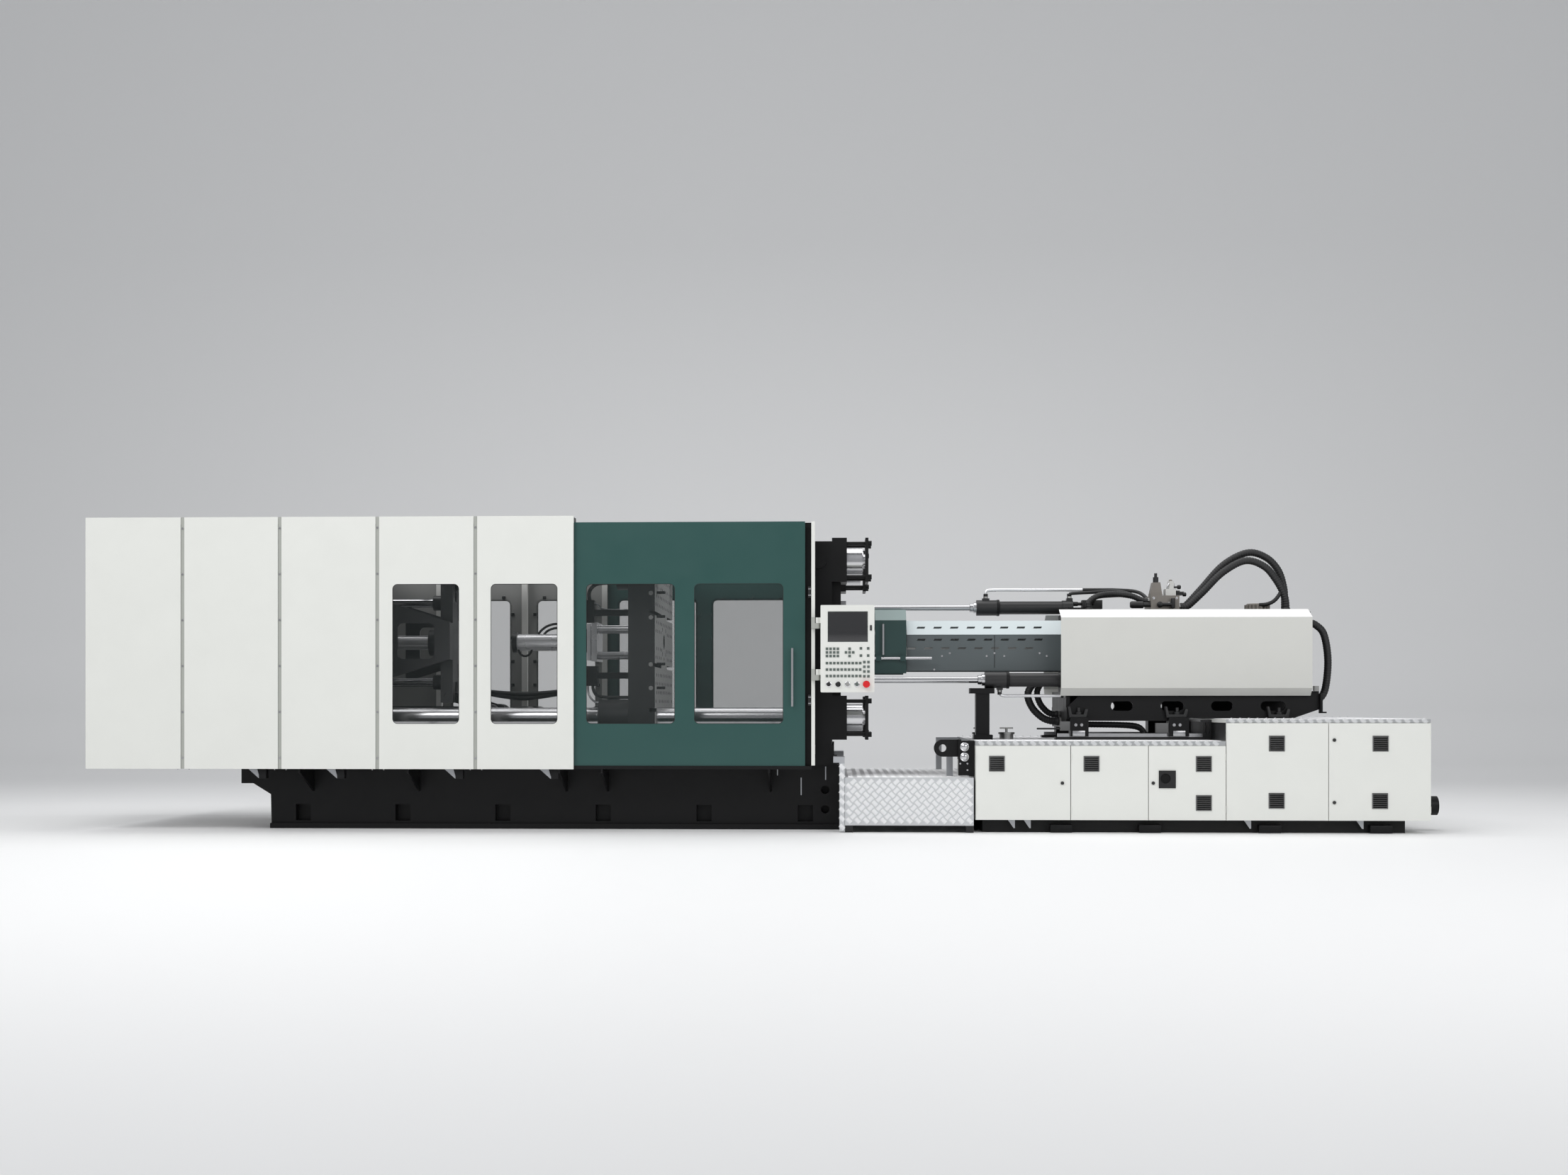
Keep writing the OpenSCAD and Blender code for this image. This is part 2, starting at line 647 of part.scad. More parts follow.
// Sliding guard doors
glass_w = 687;
glass_x = [-1596, -760];
module guard_door() {
    difference() {
        cover_pan(door_right - door_l, door_right, door_z, door_top, door_front, door_d);
        for (x = glass_x)
            window_cut(x, x + glass_w, door_front);
    }
}
module guard_panes() for (x = glass_x)
    pane(x, x + glass_w, door_front);
module guard_handle() {
    bx(-12, 4, -door_front - 40, -door_front - 24, 968, 1416);
    for (z = [990, 1394])
        bx(-10, 2, -door_front - 25, -door_front, z - 8, z + 8);
}
module front_door() color(green_paint) {
    guard_door();
    guard_handle();
}
module rear_door() color(green_paint) mirror([0, 1, 0]) {
    guard_door();
    guard_handle();
}
module front_door_panes() color(dark_glass) guard_panes();
module rear_door_panes() color(dark_glass) mirror([0, 1, 0]) guard_panes();
// White edge plates that close the guard doors' right side
module edge_plates() color(white_paint) both_sides()
    bx(rail_x1, rail_x1 + 27, -cover_y, -frame_y + post_w, door_z + 5, door_top - 3);

// Operator panel on two hinges
hinge_x = 192;
hinge_y = -1190;
hinge_z = [1211, 1607];
module hmi_bracket() color(dull_grey) for (z = hinge_z) {
    bx(rail_x1 + 27, hinge_x, hinge_y - 12, hinge_y + 60, z - 43, z - 2);
    cyl_z(z - 43, z - 2, hinge_x, hinge_y, 16);
    cyl_z(z - 2 - eps, z + 40, hinge_x, hinge_y, 8);
    bx(rail_x1, rail_x1 + 28, hinge_y - 12, -cover_y, z - 43, z + 43);
}
hmi_face = hinge_y - 60;
control_z = hmi_z + 61;
hmi_controls = [for (i = [0 : 3]) [hmi_x + 62 + i * 71.5, control_z], [hmi_x + 348, control_z]];
module hmi_box() color(white_paint) {
    difference() {
        plate_y(hmi_face, hmi_face + hmi_d) rounded(hmi_x, hmi_x + hmi_w, hmi_z, hmi_z + hmi_h, 8);
        bx(hmi_x + 54, hmi_x + 360, hmi_face - 1, hmi_face + 6, hmi_z + 383, hmi_z + 616);
        for (c = hmi_controls)
            cyl_y(hmi_face - 1, hmi_face + 40, c[0], c[1], 9);
    }
    for (z = hinge_z) difference() {
        union() {
            cyl_z(z - 1.7, z + 41, hinge_x, hinge_y, 16);
            bx(hinge_x, hmi_x + eps, hinge_y - 10, hinge_y + 10, z - 1.7, z + 41);
        }
        cyl_z(z - 3, z + 42, hinge_x, hinge_y, 8 + run);
    }
}
module hmi_keypad() color([0.2, 0.2, 0.2]) {
    bx(hmi_x + 55, hmi_x + 359, hmi_face + 1, hmi_face + 6, hmi_z + 384, hmi_z + 615);
    for (r = [0 : 2], c = [0 : 9])
        key(49 + c * 28, 124 + r * 49);
    for (r = [0 : 2], c = [0 : 3])
        key(49 + c * 27.5, 276 + r * 27.5);
    for (r = [0 : 3], c = [0 : 1])
        key(333 + c * 31, 122 + r * 36);
    for (p = [[0, 0], [27.5, 0], [-27.5, 0], [0, 27.5], [0, -27.5]])
        key(221 + p[0], 303.5 + p[1]);
    for (r = [0 : 1], c = [0 : 1])
        key(307 + c * 55, 279 + r * 55);
    // lamp between the white button and the stop button
    cyl_y(hmi_face - 9, hmi_face + 8, hmi_controls[3][0], control_z, 8.9);
    cyl_y(hmi_face - 10, hmi_face, hmi_controls[3][0], control_z, 14);
}
module key(x, z) {
    bx(hmi_x + x - 9.5, hmi_x + x + 9.5, hmi_face - 4, hmi_face, hmi_z + z - 9.5, hmi_z + z + 9.5);
}
module push_button(i, r, h) {
    cyl_y(hmi_face - h, hmi_face - 7, hmi_controls[i][0], control_z, r);
    cyl_y(hmi_face - 8, hmi_face + 28, hmi_controls[i][0], control_z, 8.9);
}
module hmi_stop_button() color([0.84, 0.1, 0.12]) push_button(4, 27, 38);
module hmi_black_button() color(black_paint) push_button(0, 15, 16);
module hmi_white_button() color(dull_grey) push_button(2, 15, 16);
module hmi_selector() color(black_paint) {
    cyl_y(hmi_face - 12, hmi_face - 1, hmi_controls[1][0], control_z, 20);
    bx(hmi_controls[1][0] - 5, hmi_controls[1][0] + 5, hmi_face - 26, hmi_face - 11,
        control_z - 18, control_z + 18);
    cyl_y(hmi_face - 2, hmi_face + 28, hmi_controls[1][0], control_z, 8.9);
}

// Checker-plate platform between clamp base and injection base, with its end post
platform_x = 401;
module platform() color(bright_steel) {
    difference() {
        bx(platform_x, platform_x + platform_l, -cab_y, cab_y, 0, platform_h);
        bx(platform_x + 6, platform_x + platform_l - 6, -cab_y + 6, cab_y - 6, -1, platform_h - 6);
        both_sides() bx(platform_x + 60, platform_x + platform_l - 60, -cab_y - 1, -cab_y + 7, -1, 54);
    }
    both_sides() {
        bx(base_right, platform_x - 3, -cab_y, -cab_y + 60, 8, 536);
        bx(base_right - 47, platform_x - 3, -cab_y, -platen_half - 10, 536 - eps, 580);
        bx(platform_x - 4, platform_x + eps, -cab_y + 20, -cab_y + 60, 8, 60);
        bx(base_right, platform_x + 6, -680, -600, platform_h - 122, platform_h - 42);
        bx(platform_x + platform_l - 6, cab_x, -680, -600, platform_h - 122, platform_h - 42);
    }
}

// Clevis lug and gauge block on the injection base's left end
module gauge_bracket() color(black_paint) {
    lug_x = 1158;
    lug_z = 645;
    for (y = [-960, -900])
        plate_y(y, y + 16) difference() {
            union() {
                translate([lug_x, lug_z]) circle(66);
                translate([lug_x, lug_z - 66]) square([120, 132]);
            }
            translate([lug_x, lug_z]) circle(30);
        }
    bx(lug_x + 119, lug_x + 140, -1000, -860, 560, 714);
    bx(lug_x + 118, cab_x - 41, -1000, -960 + eps, 436, 704);
    bx(cab_x - 42, cab_x, -1000, -860, 430, 704);
    for (z = [579, 657])
        cyl_y(-1018, -999, 1322, z, 34);
}

// Injection base: cabinet walls, posts, decks and a lower frame
door_gap = 5;
hinge_in = 2.5;
door_edges = [cab_x, cab_x + 724, cab_x + 1314, low_right, low_right + 772, cab_right];
module injection_base() color(white_paint) {
    difference() {
        union() {
            bx(cab_x, low_right + eps, -cab_y + cab_door_t + seat, cab_y, cab_z, low_h - deck_t);
            bx(low_right, cab_right, -cab_y + cab_door_t + seat, cab_y, cab_z, tall_h - deck_t + 20);
        }
        bx(cab_x + 20, low_right - 10, -cab_y - 1, cab_y - 6, cab_z + 6, low_h - deck_t - 6);
        bx(low_right + 10, cab_right - 6, -cab_y - 1, cab_y - 6, cab_z + 6, tall_h - deck_t + 14);
        cyl_x(cab_right - 7, cab_right + 1, motor_y, motor_z, 77);
    }
    bx(cab_x, low_right + eps, -cab_y + 10, cab_y - 10, low_h - deck_t - eps, low_h);
    bx(low_right, cab_right, -cab_y + 10, cab_y - 10, tall_h - deck_t + 20 - eps, tall_h + 13);
    both_sides() for (x = door_edges)
        bx(x < cab_right ? max(x - 12, cab_x) : x - 24, x < cab_right ? max(x - 12, cab_x) + 24 : x,
            -cab_y + cab_door_t + seat, -cab_y + 60, cab_z + 5, (x <= low_right ? low_h - 40 : tall_h - 20));
    both_sides() {
        bx(1197, 1245, -800, -760, platform_h, low_h);
        bx(1197, cab_x + eps, -800, -760, low_h - 24, low_h);
    }
    both_sides() bx(cab_x + 60, cab_right - 167, -1000, -880, 0, cab_z + eps);
    for (x = [cab_x + 60, low_right - 120, cab_right - 287])
        bx(x, x + 120, -881, 881, 0, cab_z + eps);
}
module louvre(x, z) {
    bx(x, x + vent_s, -cab_y - 6, -cab_y + 1, z, z + 6);
    bx(x, x + vent_s, -cab_y - 6, -cab_y + 1, z + vent_s - 6, z + vent_s);
    for (xs = [x, x + vent_s - 6])
        bx(xs, xs + 6, -cab_y - 6, -cab_y + 1, z, z + vent_s);
    for (i = [1 : 7])
        translate([x, -cab_y + 1, z + i * vent_s / 8]) rotate([-35, 0, 0])
            bx(0, vent_s, -7, 2, -1, 1);
}
lock_r = 13;
module cabinet_door(i, z1, vents, locks, hinge_left) color(white_paint) {
    edge = door_edges[i];
    x0 = edge + door_gap / 2;
    x1 = door_edges[i + 1] - door_gap / 2;
    difference() {
        cover_pan(x0, x1, cab_z + 2, z1, cab_y, cab_door_t);
        for (v = vents)
            bx(edge + v[0] + 3, edge + v[0] + vent_s - 3, -cab_y - 1, -cab_y + 10, v[1] + 3, v[1] + vent_s - 3);
    }
    for (v = vents)
        louvre(edge + v[0], v[1]);
    for (p = locks)
        cyl_y(-cab_y - 8, -cab_y + 8, edge + p[0], p[1], lock_r);
    hinge = hinge_left ? x0 + hinge_in : x1 - hinge_in;
    for (z = [cab_z + 60, z1 - 110])
        cyl_z(z, z + 50, hinge, -cab_y - 2.5, 3.5);
}
// Vents and locks stand at distances from each door's left edge
low_door_top = low_h - deck_t - 2;
tall_door_top = tall_h - deck_t + 16;
module cabinet_door_1() cabinet_door(0, low_door_top, [[103, 471]], [[660, 382]], true);
module cabinet_door_2() cabinet_door(1, low_door_top, [[99, 471]], [], true);
module cabinet_door_3() {
    cabinet_door(2, low_door_top, [[360, 471], [360, 173]], [[36, 383]], false);
    // flange of a supply connection on the door
    box_x = door_edges[2] + 78;
    color(black_paint) difference() {
        bx(box_x, box_x + 128, -cab_y - 8, -cab_y + 1, 344, 479);
        cyl_y(-cab_y - 9, -cab_y + 2, box_x + 50, 418, 38);
    }
}
module cabinet_door_4() cabinet_door(3, tall_door_top, [[323, 627], [321, 191]], [], true);
module cabinet_door_5() cabinet_door(4, tall_door_top, [[331, 627], [327, 191]], [[42, 713], [42, 237]], false);

// Oil tank with two filler caps, and the pump with its motor, inside the cabinets
module oil_tank() color(bright_steel) {
    difference() {
        bx(cab_x + 80, cab_x + 1250, -600, 900, cab_z + 6, low_h - deck_t - 10);
        bx(cab_x + 86, cab_x + 1244, -594, 894, cab_z + 12, low_h - deck_t - 16);
    }
    for (x = cap_x)
        difference() {
            cyl_z(low_h, low_h + 42, x, cap_y, 56);
            cyl_z(low_h + 6, low_h + 43, x, cap_y, 22 + run);
        }
}
cap_x = [1500, 1712];
cap_y = -250;
module tank_cap(x) color(bright_steel) {
    cyl_z(low_h + 42 + seat, low_h + 58, x, cap_y, 66);
    cyl_z(low_h + 12, low_h + 43, x, cap_y, 22);
    cyl_z(low_h + 57, low_h + 90, x, cap_y, 10);
    cyl_x(x - 54, x + 54, cap_y, low_h + 92, 6);
}
module tank_cap_left() tank_cap(cap_x[0]);
module tank_cap_right() tank_cap(cap_x[1]);
motor_y = -600;
motor_z = 190;
module pump_motor() color(black_paint) {
    cyl_x(cab_right - 620, cab_right - 40, motor_y, motor_z, 84);
    cyl_x(cab_right - 41, cab_right + 195, motor_y, motor_z, 75);
    bx(cab_right - 560, cab_right - 100, motor_y - 70, motor_y + 70, cab_z + 6, motor_z - 30);
    bx(cab_right - 800, cab_right - 619, motor_y - 80, motor_y + 80, motor_z - 80, motor_z + 80);
}

// Linear rails on the low deck
rail_x0 = 2096;
rail_end = 3233;
module linear_rails() color(bright_steel) both_sides() {
    bx(rail_x0 - 22, rail_end + 65, -rail_y - 50, -rail_y + 50, low_h, low_h + 24);
    bx(rail_x0, rail_end, -rail_y - 22, -rail_y + 22, low_h + 24 - eps, low_h + 52);
    difference() {
        bx(rail_end, rail_end + 68, -rail_y - 50, -rail_y + 50, low_h + 24 - eps, low_h + 160);
        for (x = [rail_end + 12, rail_end + 40])
            bx(x, x + 16, -rail_y - 51, -rail_y + 51, low_h + 50, low_h + 140);
    }
}

// Column under the front carriage cylinder
car_z = axis_h - 319;
car_high = axis_h + 304;
car_y = 450;
head_r = 66;
module support_column() color(black_paint) {
    bx(1447, 1555, -car_y - 60, -car_y + 60, low_h + 40, car_z - head_r - 42);
    bx(1399, 1594, -car_y - 70, -car_y + 70, car_z - head_r - 43, car_z - head_r - seat);
    bx(1430, 1579, -car_y - 80, -car_y + 80, low_h, low_h + 41);
}

// Carriage: slotted side plates, guide blocks, cross plates and the barrel's seat
seat_x0 = 2200;
seat_x1 = 2420;
seat_z = axis_h + 230;
pusher_x = 3000;
plate_top = axis_h - 410;
plate_low = low_h + 152;
plate_mid = (plate_low + plate_top) / 2;
carriage_end = 4151;
yoke_x = 3950;
yoke_end = 4130;
module carriage() color(black_paint) {
    both_sides() plate_y(-rail_y - 15, -rail_y + 15) difference() {
        polygon([[2270, plate_top - 30], [2165, plate_mid - 12], [2165, plate_low + 16], [2250, plate_low],
            [3120, plate_low], [3140, tall_h + 20], [3960, tall_h + 20],
            [carriage_end, plate_mid - 27], [carriage_end, plate_top], [2270, plate_top]]);
        for (x = [[2515, 2690], [2909, 3092], [3305, 3476], [3694, 3888]])
            rounded(x[0], x[1], plate_mid - 38, plate_mid + 38, 37.9);
    }
    both_sides() for (x = [[2192, 2332], [2965, 3122]])
        difference() {
            bx(x[0], x[1], -rail_y - 70, -rail_y + 70, low_h + 28, low_h + 178);
            bx(x[0] - 1, x[1] + 1, -rail_y - 22 - seat, -rail_y + 22 + seat, low_h, low_h + 52 + seat);
        }
    bx(2165, 2195, -rail_y + 14, rail_y - 14, low_h + 98, plate_top - 1);
    bx(2190, carriage_end, -rail_y + 14, rail_y - 14, plate_top - 30, plate_top);
    bx(carriage_end - 51, carriage_end, -300, 300, plate_top - 130, plate_top - 29);
    difference() {
        union() {
            bx(seat_x0, seat_x1, -330, 330, plate_top - 1, seat_z);
            bx(seat_x0 + 20, seat_x1 - 20, -150, 150, seat_z - 1, seat_z + 45);
        }
        cyl_x(seat_x0 - 1, seat_x1 + 1, 0, axis_h, barrel_r + run);
        cyl_z(axis_h, seat_z + 50, (seat_x0 + seat_x1) / 2, 0, feed_r);
        cyl_z(seat_z + 15, seat_z + 50, (seat_x0 + seat_x1) / 2, 0, spigot_r);
        for (a = [45 : 90 : 315])
            cyl_z(seat_z + 10, seat_z + 50, (seat_x0 + seat_x1) / 2 + hopper_pcr * cos(a),
                hopper_pcr * sin(a), 7);
    }
    difference() {
        bx(yoke_x, yoke_end, -330, 330, plate_top - 1, seat_z);
        cyl_x(yoke_x - 1, yoke_end + 1, 0, axis_h, 150);
    }
    both_sides() cyl_x(seat_x1 - eps, yoke_x + 1, -250, axis_h, 40);
    both_sides() bx(2890, 2912, -150, -120, plate_top - 1, manifold_z);
}

// Valve manifold on its two legs
manifold_z = axis_h + 200;
manifold_top = manifold_z + 171;
module manifold() color([0.63, 0.59, 0.55]) {
    bx(2890, 3120, -160, 160, manifold_z, manifold_top);
    bx(2905, 3000, -60, 60, manifold_top - eps, manifold_top + 20);
    plate_y(-50, 50) polygon([[2905, manifold_top + 19], [3000, manifold_top + 19],
        [2985, manifold_top + 114], [2925, manifold_top + 114]]);
    cyl_z(manifold_top + 113, manifold_top + 159, 2955, 0, 22);
    cyl_z(manifold_top + 158, manifold_top + 191, 2955, 0, 12);
    bx(3027, 3110, -60, 60, manifold_top - eps, manifold_top + 60);
    bx(3060, 3095, -50, 50, manifold_top + 59, manifold_top + 125);
    cyl_x(3109, 3150, 0, manifold_top + 30, 20);
    cyl_x(3149, 3185, 0, manifold_top + 30, 11);
}

// Hoses and pipes of the injection unit, each held in a fitting at both ends
manifold_hose_l = [for (p = [[3150, 60, 280], [3210, 60, 300], [3330, 50, 430], [3510, 30, 630],
    [3700, 0, 728], [3850, 0, 690], [3950, 0, 585], [3995, 0, 445], [4003, 0, 330], [4003, 0, 265]])
    p + [0, 0, axis_h]];
manifold_hose_s = [for (p = [[3150, -90, 280], [3200, -90, 290], [3320, -90, 400], [3480, -90, 560],
    [3660, -100, 655], [3810, -110, 610], [3905, -120, 500], [3970, -130, 370], [3984, -130, 265]])
    p + [0, 0, axis_h]];
end_hose = [[4160, -200, axis_h + 140], [4200, -200, axis_h + 130], [4270, -200, axis_h + 50],
    [4302, -200, axis_h - 160], [4280, -200, 1110], [4225, -200, 1020], [4180, -200, 1006]];
front_hose_a = [[2169, -150, 1205], [2110, -150, 1206], [1960, -150, 1165], [1895, -150, 1070],
    [1930, -150, 960], [2010, -150, 880], [2080, -150, 852], [2134, -150, 848]];
front_hose_b = [[2170, -60, 1205], [2130, -60, 1205], [2030, -60, 1170], [1980, -60, 1090],
    [2000, -60, 1000], [2050, -60, 935], [2095, -60, 908], [2136, -60, 903]];
rear_pipe = [for (p = [[1600, 0, 90], [1602, 0, 130], [1650, 0, 151], [2000, 0, 151],
    [2400, 0, 151], [2700, -5, 149], [2870, -40, 130], [2945, -120, 60], [2960, -200, -20],
    [2960, 180 - car_y, -24]]) p + [0, car_y, car_high]];
valve_pipe = [for (p = [[2305, 0, 90], [2308, -5, 115], [2350, -20, 122], [2500, -160, 122],
    [2640, -330, 120], [2760, -390, 90], [2830, -390, 40], [2875, -390, 36]]) p + [0, car_y, car_high]];
seat_hose = [for (p = [[2385, -190, 262], [2388, -188, 320], [2470, -170, 372], [2600, -120, 386],
    [2740, -90, 372], [2820, -90, 340], [2872, -90, 330]]) p + [0, 0, axis_h]];
front_pipe = [[1640, -car_y, car_z - boss_z - 10], [1641, -car_y, car_z - 104], [1668, -car_y, car_z - 126],
    [1800, -car_y, car_z - 127], [2000, -car_y, car_z - 127], [2150, -car_y, car_z - 127]];
module hoses() color([0.1, 0.1, 0.1]) {
    hose(manifold_hose_l, 30);
    cyl_x(3120, 3120 + fit_l, 60, axis_h + 280, 36);
    cyl_z(seat_z, seat_z + fit_l, 4003, 0, 34);
    hose(manifold_hose_s, 30);
    cyl_x(3120, 3120 + fit_l, -90, axis_h + 280, 36);
    cyl_z(seat_z, seat_z + fit_l, 3984, -130, 34);
    hose(end_hose, 30);
    cyl_x(yoke_end, yoke_end + fit_l, -200, axis_h + 140, 36);
    cyl_x(carriage_end, carriage_end + fit_l, -200, 1006, 36);
    hose(front_hose_a, 30);
    cyl_x(seat_x0 - fit_l, seat_x0, -150, 1205, 36);
    cyl_x(2165 - fit_l, 2165, -150, 848, 36);
    hose(front_hose_b, 26);
    cyl_x(seat_x0 - fit_l, seat_x0, -60, 1205, 32);
    cyl_x(2165 - fit_l, 2165, -60, 903, 32);
    hose(rear_pipe, 14);
    cyl_z(car_high + boss_z, car_high + boss_z + 25, 1600, car_y, 20);
    cyl_y(160, 160 + fit_l, 2960, manifold_z + 80, 20);
    hose(valve_pipe, 14);
    cyl_z(car_high + boss_z, car_high + boss_z + 25, 2305, car_y, 20);
    cyl_x(2890 - fit_l, 2890, 60, manifold_z + 140, 20);
    hose(seat_hose, 24);
    cyl_z(seat_z, seat_z + fit_l, 2385, -190, 28);
    cyl_x(2890 - fit_l, 2890, -90, manifold_z + 130, 28);
    hose(front_pipe, 12);
    cyl_z(car_z - boss_z - 25, car_z - boss_z, 1640, -car_y, 18);
    cyl_x(2165 - fit_l, 2165, -car_y, car_z - 127, 18);
}

// White covers over the injection unit, folded at top and bottom
inj_top = axis_h + 175;
fold_low = plate_top - 36;
module injection_covers() color(white_paint) both_sides()
    translate([inj_x, 0, 0]) rotate([90, 0, 90]) linear_extrude(inj_l)
        polygon([[-inj_y, fold_low + 60], [-inj_y, inj_top], [-inj_y + 140, inj_top + 67],
            [-inj_y + 140, inj_top + 62], [-inj_y + sheet_t, inj_top - 3], [-inj_y + sheet_t, fold_low + 62],
            [-inj_y + 62, fold_low + sheet_t], [-rail_y - 15, fold_low + sheet_t],
            [-rail_y - 15, fold_low], [-inj_y + 60, fold_low]]);

// Barrel with heater bands and nozzle
module barrel() color(bright_steel) difference() {
    union() {
        cyl_x(640, seat_x1 + 40, 0, axis_h, barrel_r);
        translate([560, 0, axis_h]) rotate([0, 90, 0]) cylinder(h = 81, r1 = 40, r2 = barrel_r - 8);
        cyl_x(62, 561, 0, axis_h, 32);
        for (i = [0 : 6])
            cyl_x(700 + i * 200, 860 + i * 200, 0, axis_h, barrel_r + 14);
    }
    cyl_x(640, seat_x1 + 41, 0, axis_h, screw_r + run);
    cyl_x(61, 641, 0, axis_h, 8);
    cyl_z(axis_h, axis_h + 130, (seat_x0 + seat_x1) / 2, 0, feed_r);
}
module screw() color(bright_steel) {
    cyl_x(760, 2380, 0, axis_h, screw_r - 12);
    translate([680, 0, axis_h]) rotate([0, 90, 0]) cylinder(h = 81, r1 = 6, r2 = screw_r - 12);
    for (i = [0 : 20])
        cyl_x(770 + i * 70, 784 + i * 70, 0, axis_h, screw_r);
    cyl_x(2379, pusher_x - seat, 0, axis_h, screw_r);
}
cover_hole_pitch = 135;
module barrel_cover() color([0.35, 0.38, 0.38]) difference() {
    x1 = seat_x0;
    translate([barrel_cover_x, 0, 0]) rotate([90, 0, 90]) linear_extrude(x1 - barrel_cover_x)
        difference() {
            hood(barrel_cover_y, 150, axis_h - 242, axis_h + 51, axis_h + 169);
            hood(barrel_cover_y - 3, 148, axis_h - 243, axis_h + 50, axis_h + 166);
        }
    both_sides() for (i = [0 : 7]) {
        x = barrel_cover_x + 80 + i * cover_hole_pitch;
        plate_y(-barrel_cover_y - 1, -barrel_cover_y + 4) {
            translate([x + 38, axis_h + 10]) slot_hole();
            translate([x - 40, axis_h - 60]) slot_hole();
        }
        plate_y(-barrel_cover_y - 1, -150)
            translate([x + 38, axis_h + 110]) slot_hole();
    }
}
// Cross-section of a hood with two sloping shoulders
module hood(half, half_top, z0, z1, z2) {
    polygon([[-half, z0], [-half, z1], [-half_top, z2], [half_top, z2], [half, z1], [half, z0]]);
}
module slot_hole() {
    polygon([[-36, -8], [28, -8], [36, 8], [-28, 8]]);
}

// Sliding guard over the nozzle, on two rods
guide_rod_y = 360;
guide_rod_z = axis_h - 143;
guide_rod_r = 12;
module purge_guard() color([0.19, 0.29, 0.28]) {
    x0 = boss_depth + 230;
    x1 = barrel_cover_x - 6;
    translate([x0, 0, 0]) rotate([90, 0, 90]) linear_extrude(x1 - x0)
        difference() {
            hood(340, 240, axis_h - 264, axis_h + 163, axis_h + 255);
            hood(337, 239, axis_h - 265, axis_h + 162, axis_h + 252);
        }
    both_sides() {
        bx(706, 720, -372, -360, axis_h - 115, axis_h + 134);
        for (z = [axis_h - 105, axis_h + 118])
            bx(708, 718, -361, -340 + eps, z, z + 10);
        for (x = [x0 + 6, x1 - 50]) difference() {
            bx(x, x + 44, -380, -337, guide_rod_z - 22, guide_rod_z + 22);
            cyl_x(x - 1, x + 45, -guide_rod_y, guide_rod_z, guide_rod_r + run);
        }
    }
}

// Carriage cylinders, rods on the fixed platen and tubes on the carriage
head_x = 1521;
head_l = 171;
module car_tube(y, z, x1) difference() {
    union() {
        cyl_x(head_x, head_x + head_l, y, z, head_r);
        cyl_x(head_x + head_l - 1, x1, y, z, car_tube_r);
        cyl_x(x1 - 90, x1, y, z, head_r - 4);
    }
    cyl_x(head_x - 1, head_x + 39, y, z, car_rod_r + run);
    cyl_x(head_x + 38, x1 - 40, y, z, car_tube_r - 10);
}
module carriage_cylinders() color(black_paint) {
    car_tube(-car_y, car_z, 2196);
    car_tube(car_y, car_high, 2333);
    // flat seats for the pipe fittings
    bx(1570, 1630, car_y - 30, car_y + 30, car_high + 50, car_high + boss_z);
    bx(1616, 1664, -car_y - 24, -car_y + 24, car_z - boss_z, car_z - 50);
    bx(2280, 2330, car_y - 30, car_y + 30, car_high + 40, car_high + boss_z);
    bx(2196 - eps, 2270, -car_y - 60, -330, car_z - 30, car_z + 60);
    bx(2240, 2334, 330, car_y + 25, car_high - 200, car_high - 40);
}
module carriage_rods() color(bright_steel) {
    cyl_x(boss_depth, 2000, -car_y, car_z, car_rod_r);
    cyl_x(1990, 2030, -car_y, car_z, car_tube_r - 10 - seat);
    cyl_x(boss_depth, 2000, car_y, car_high, car_rod_r);
    cyl_x(1990, 2030, car_y, car_high, car_tube_r - 10 - seat);
    both_sides()
        cyl_x(fixed_t, 1103, -guide_rod_y, guide_rod_z, guide_rod_r);
    for (p = [[-car_y, car_z], [car_y, car_high]])
        bx(fixed_t, boss_depth + eps, p[0] - 45, p[0] + 45, p[1] - 60, p[1] + 60);
}

// Pusher plate with the hydraulic motor that turns the screw
module pusher() color(black_paint) {
    difference() {
        bx(pusher_x, pusher_x + 120, -330, 330, axis_h - 160, axis_h + 160);
        both_sides() cyl_x(pusher_x - 1, pusher_x + 121, -250, axis_h, 40 + run);
    }
    cyl_x(pusher_x + 119, pusher_x + 560, 0, axis_h, 130);
}

clamp_base();
fixed_platen();
tie_bars();
tie_bar_nuts();
nut_clamps();
tail_platen();
adjusting_nuts();
clamp_cylinder();
crosshead_guides();
crosshead();
upper_crosshead_links();
lower_crosshead_links();
upper_rear_links();
upper_front_links();
lower_rear_links();
lower_front_links();
moving_platen();
ejector_cylinder();
ejector_plate();
cover_frame();
cover_panels();
joint_strips();
cover_windows();
front_door();
rear_door();
front_door_panes();
rear_door_panes();
edge_plates();
hmi_bracket();
hmi_box();
hmi_keypad();
hmi_stop_button();
hmi_black_button();
hmi_white_button();
hmi_selector();
platform();
gauge_bracket();
injection_base();
cabinet_door_1();
cabinet_door_2();
cabinet_door_3();
cabinet_door_4();
cabinet_door_5();
oil_tank();
tank_cap_left();
tank_cap_right();
pump_motor();
linear_rails();
support_column();
carriage();
injection_covers();
barrel();
barrel_cover();
purge_guard();
carriage_cylinders();
carriage_rods();
manifold();
hoses();
pusher();
screw();
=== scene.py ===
"""Looks of the injection moulding machine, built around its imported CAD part.

Lengths are in millimetres in the helpers and become metres when a mesh is made.
"""

import logging
import math
from dataclasses import dataclass, field
from enum import Enum

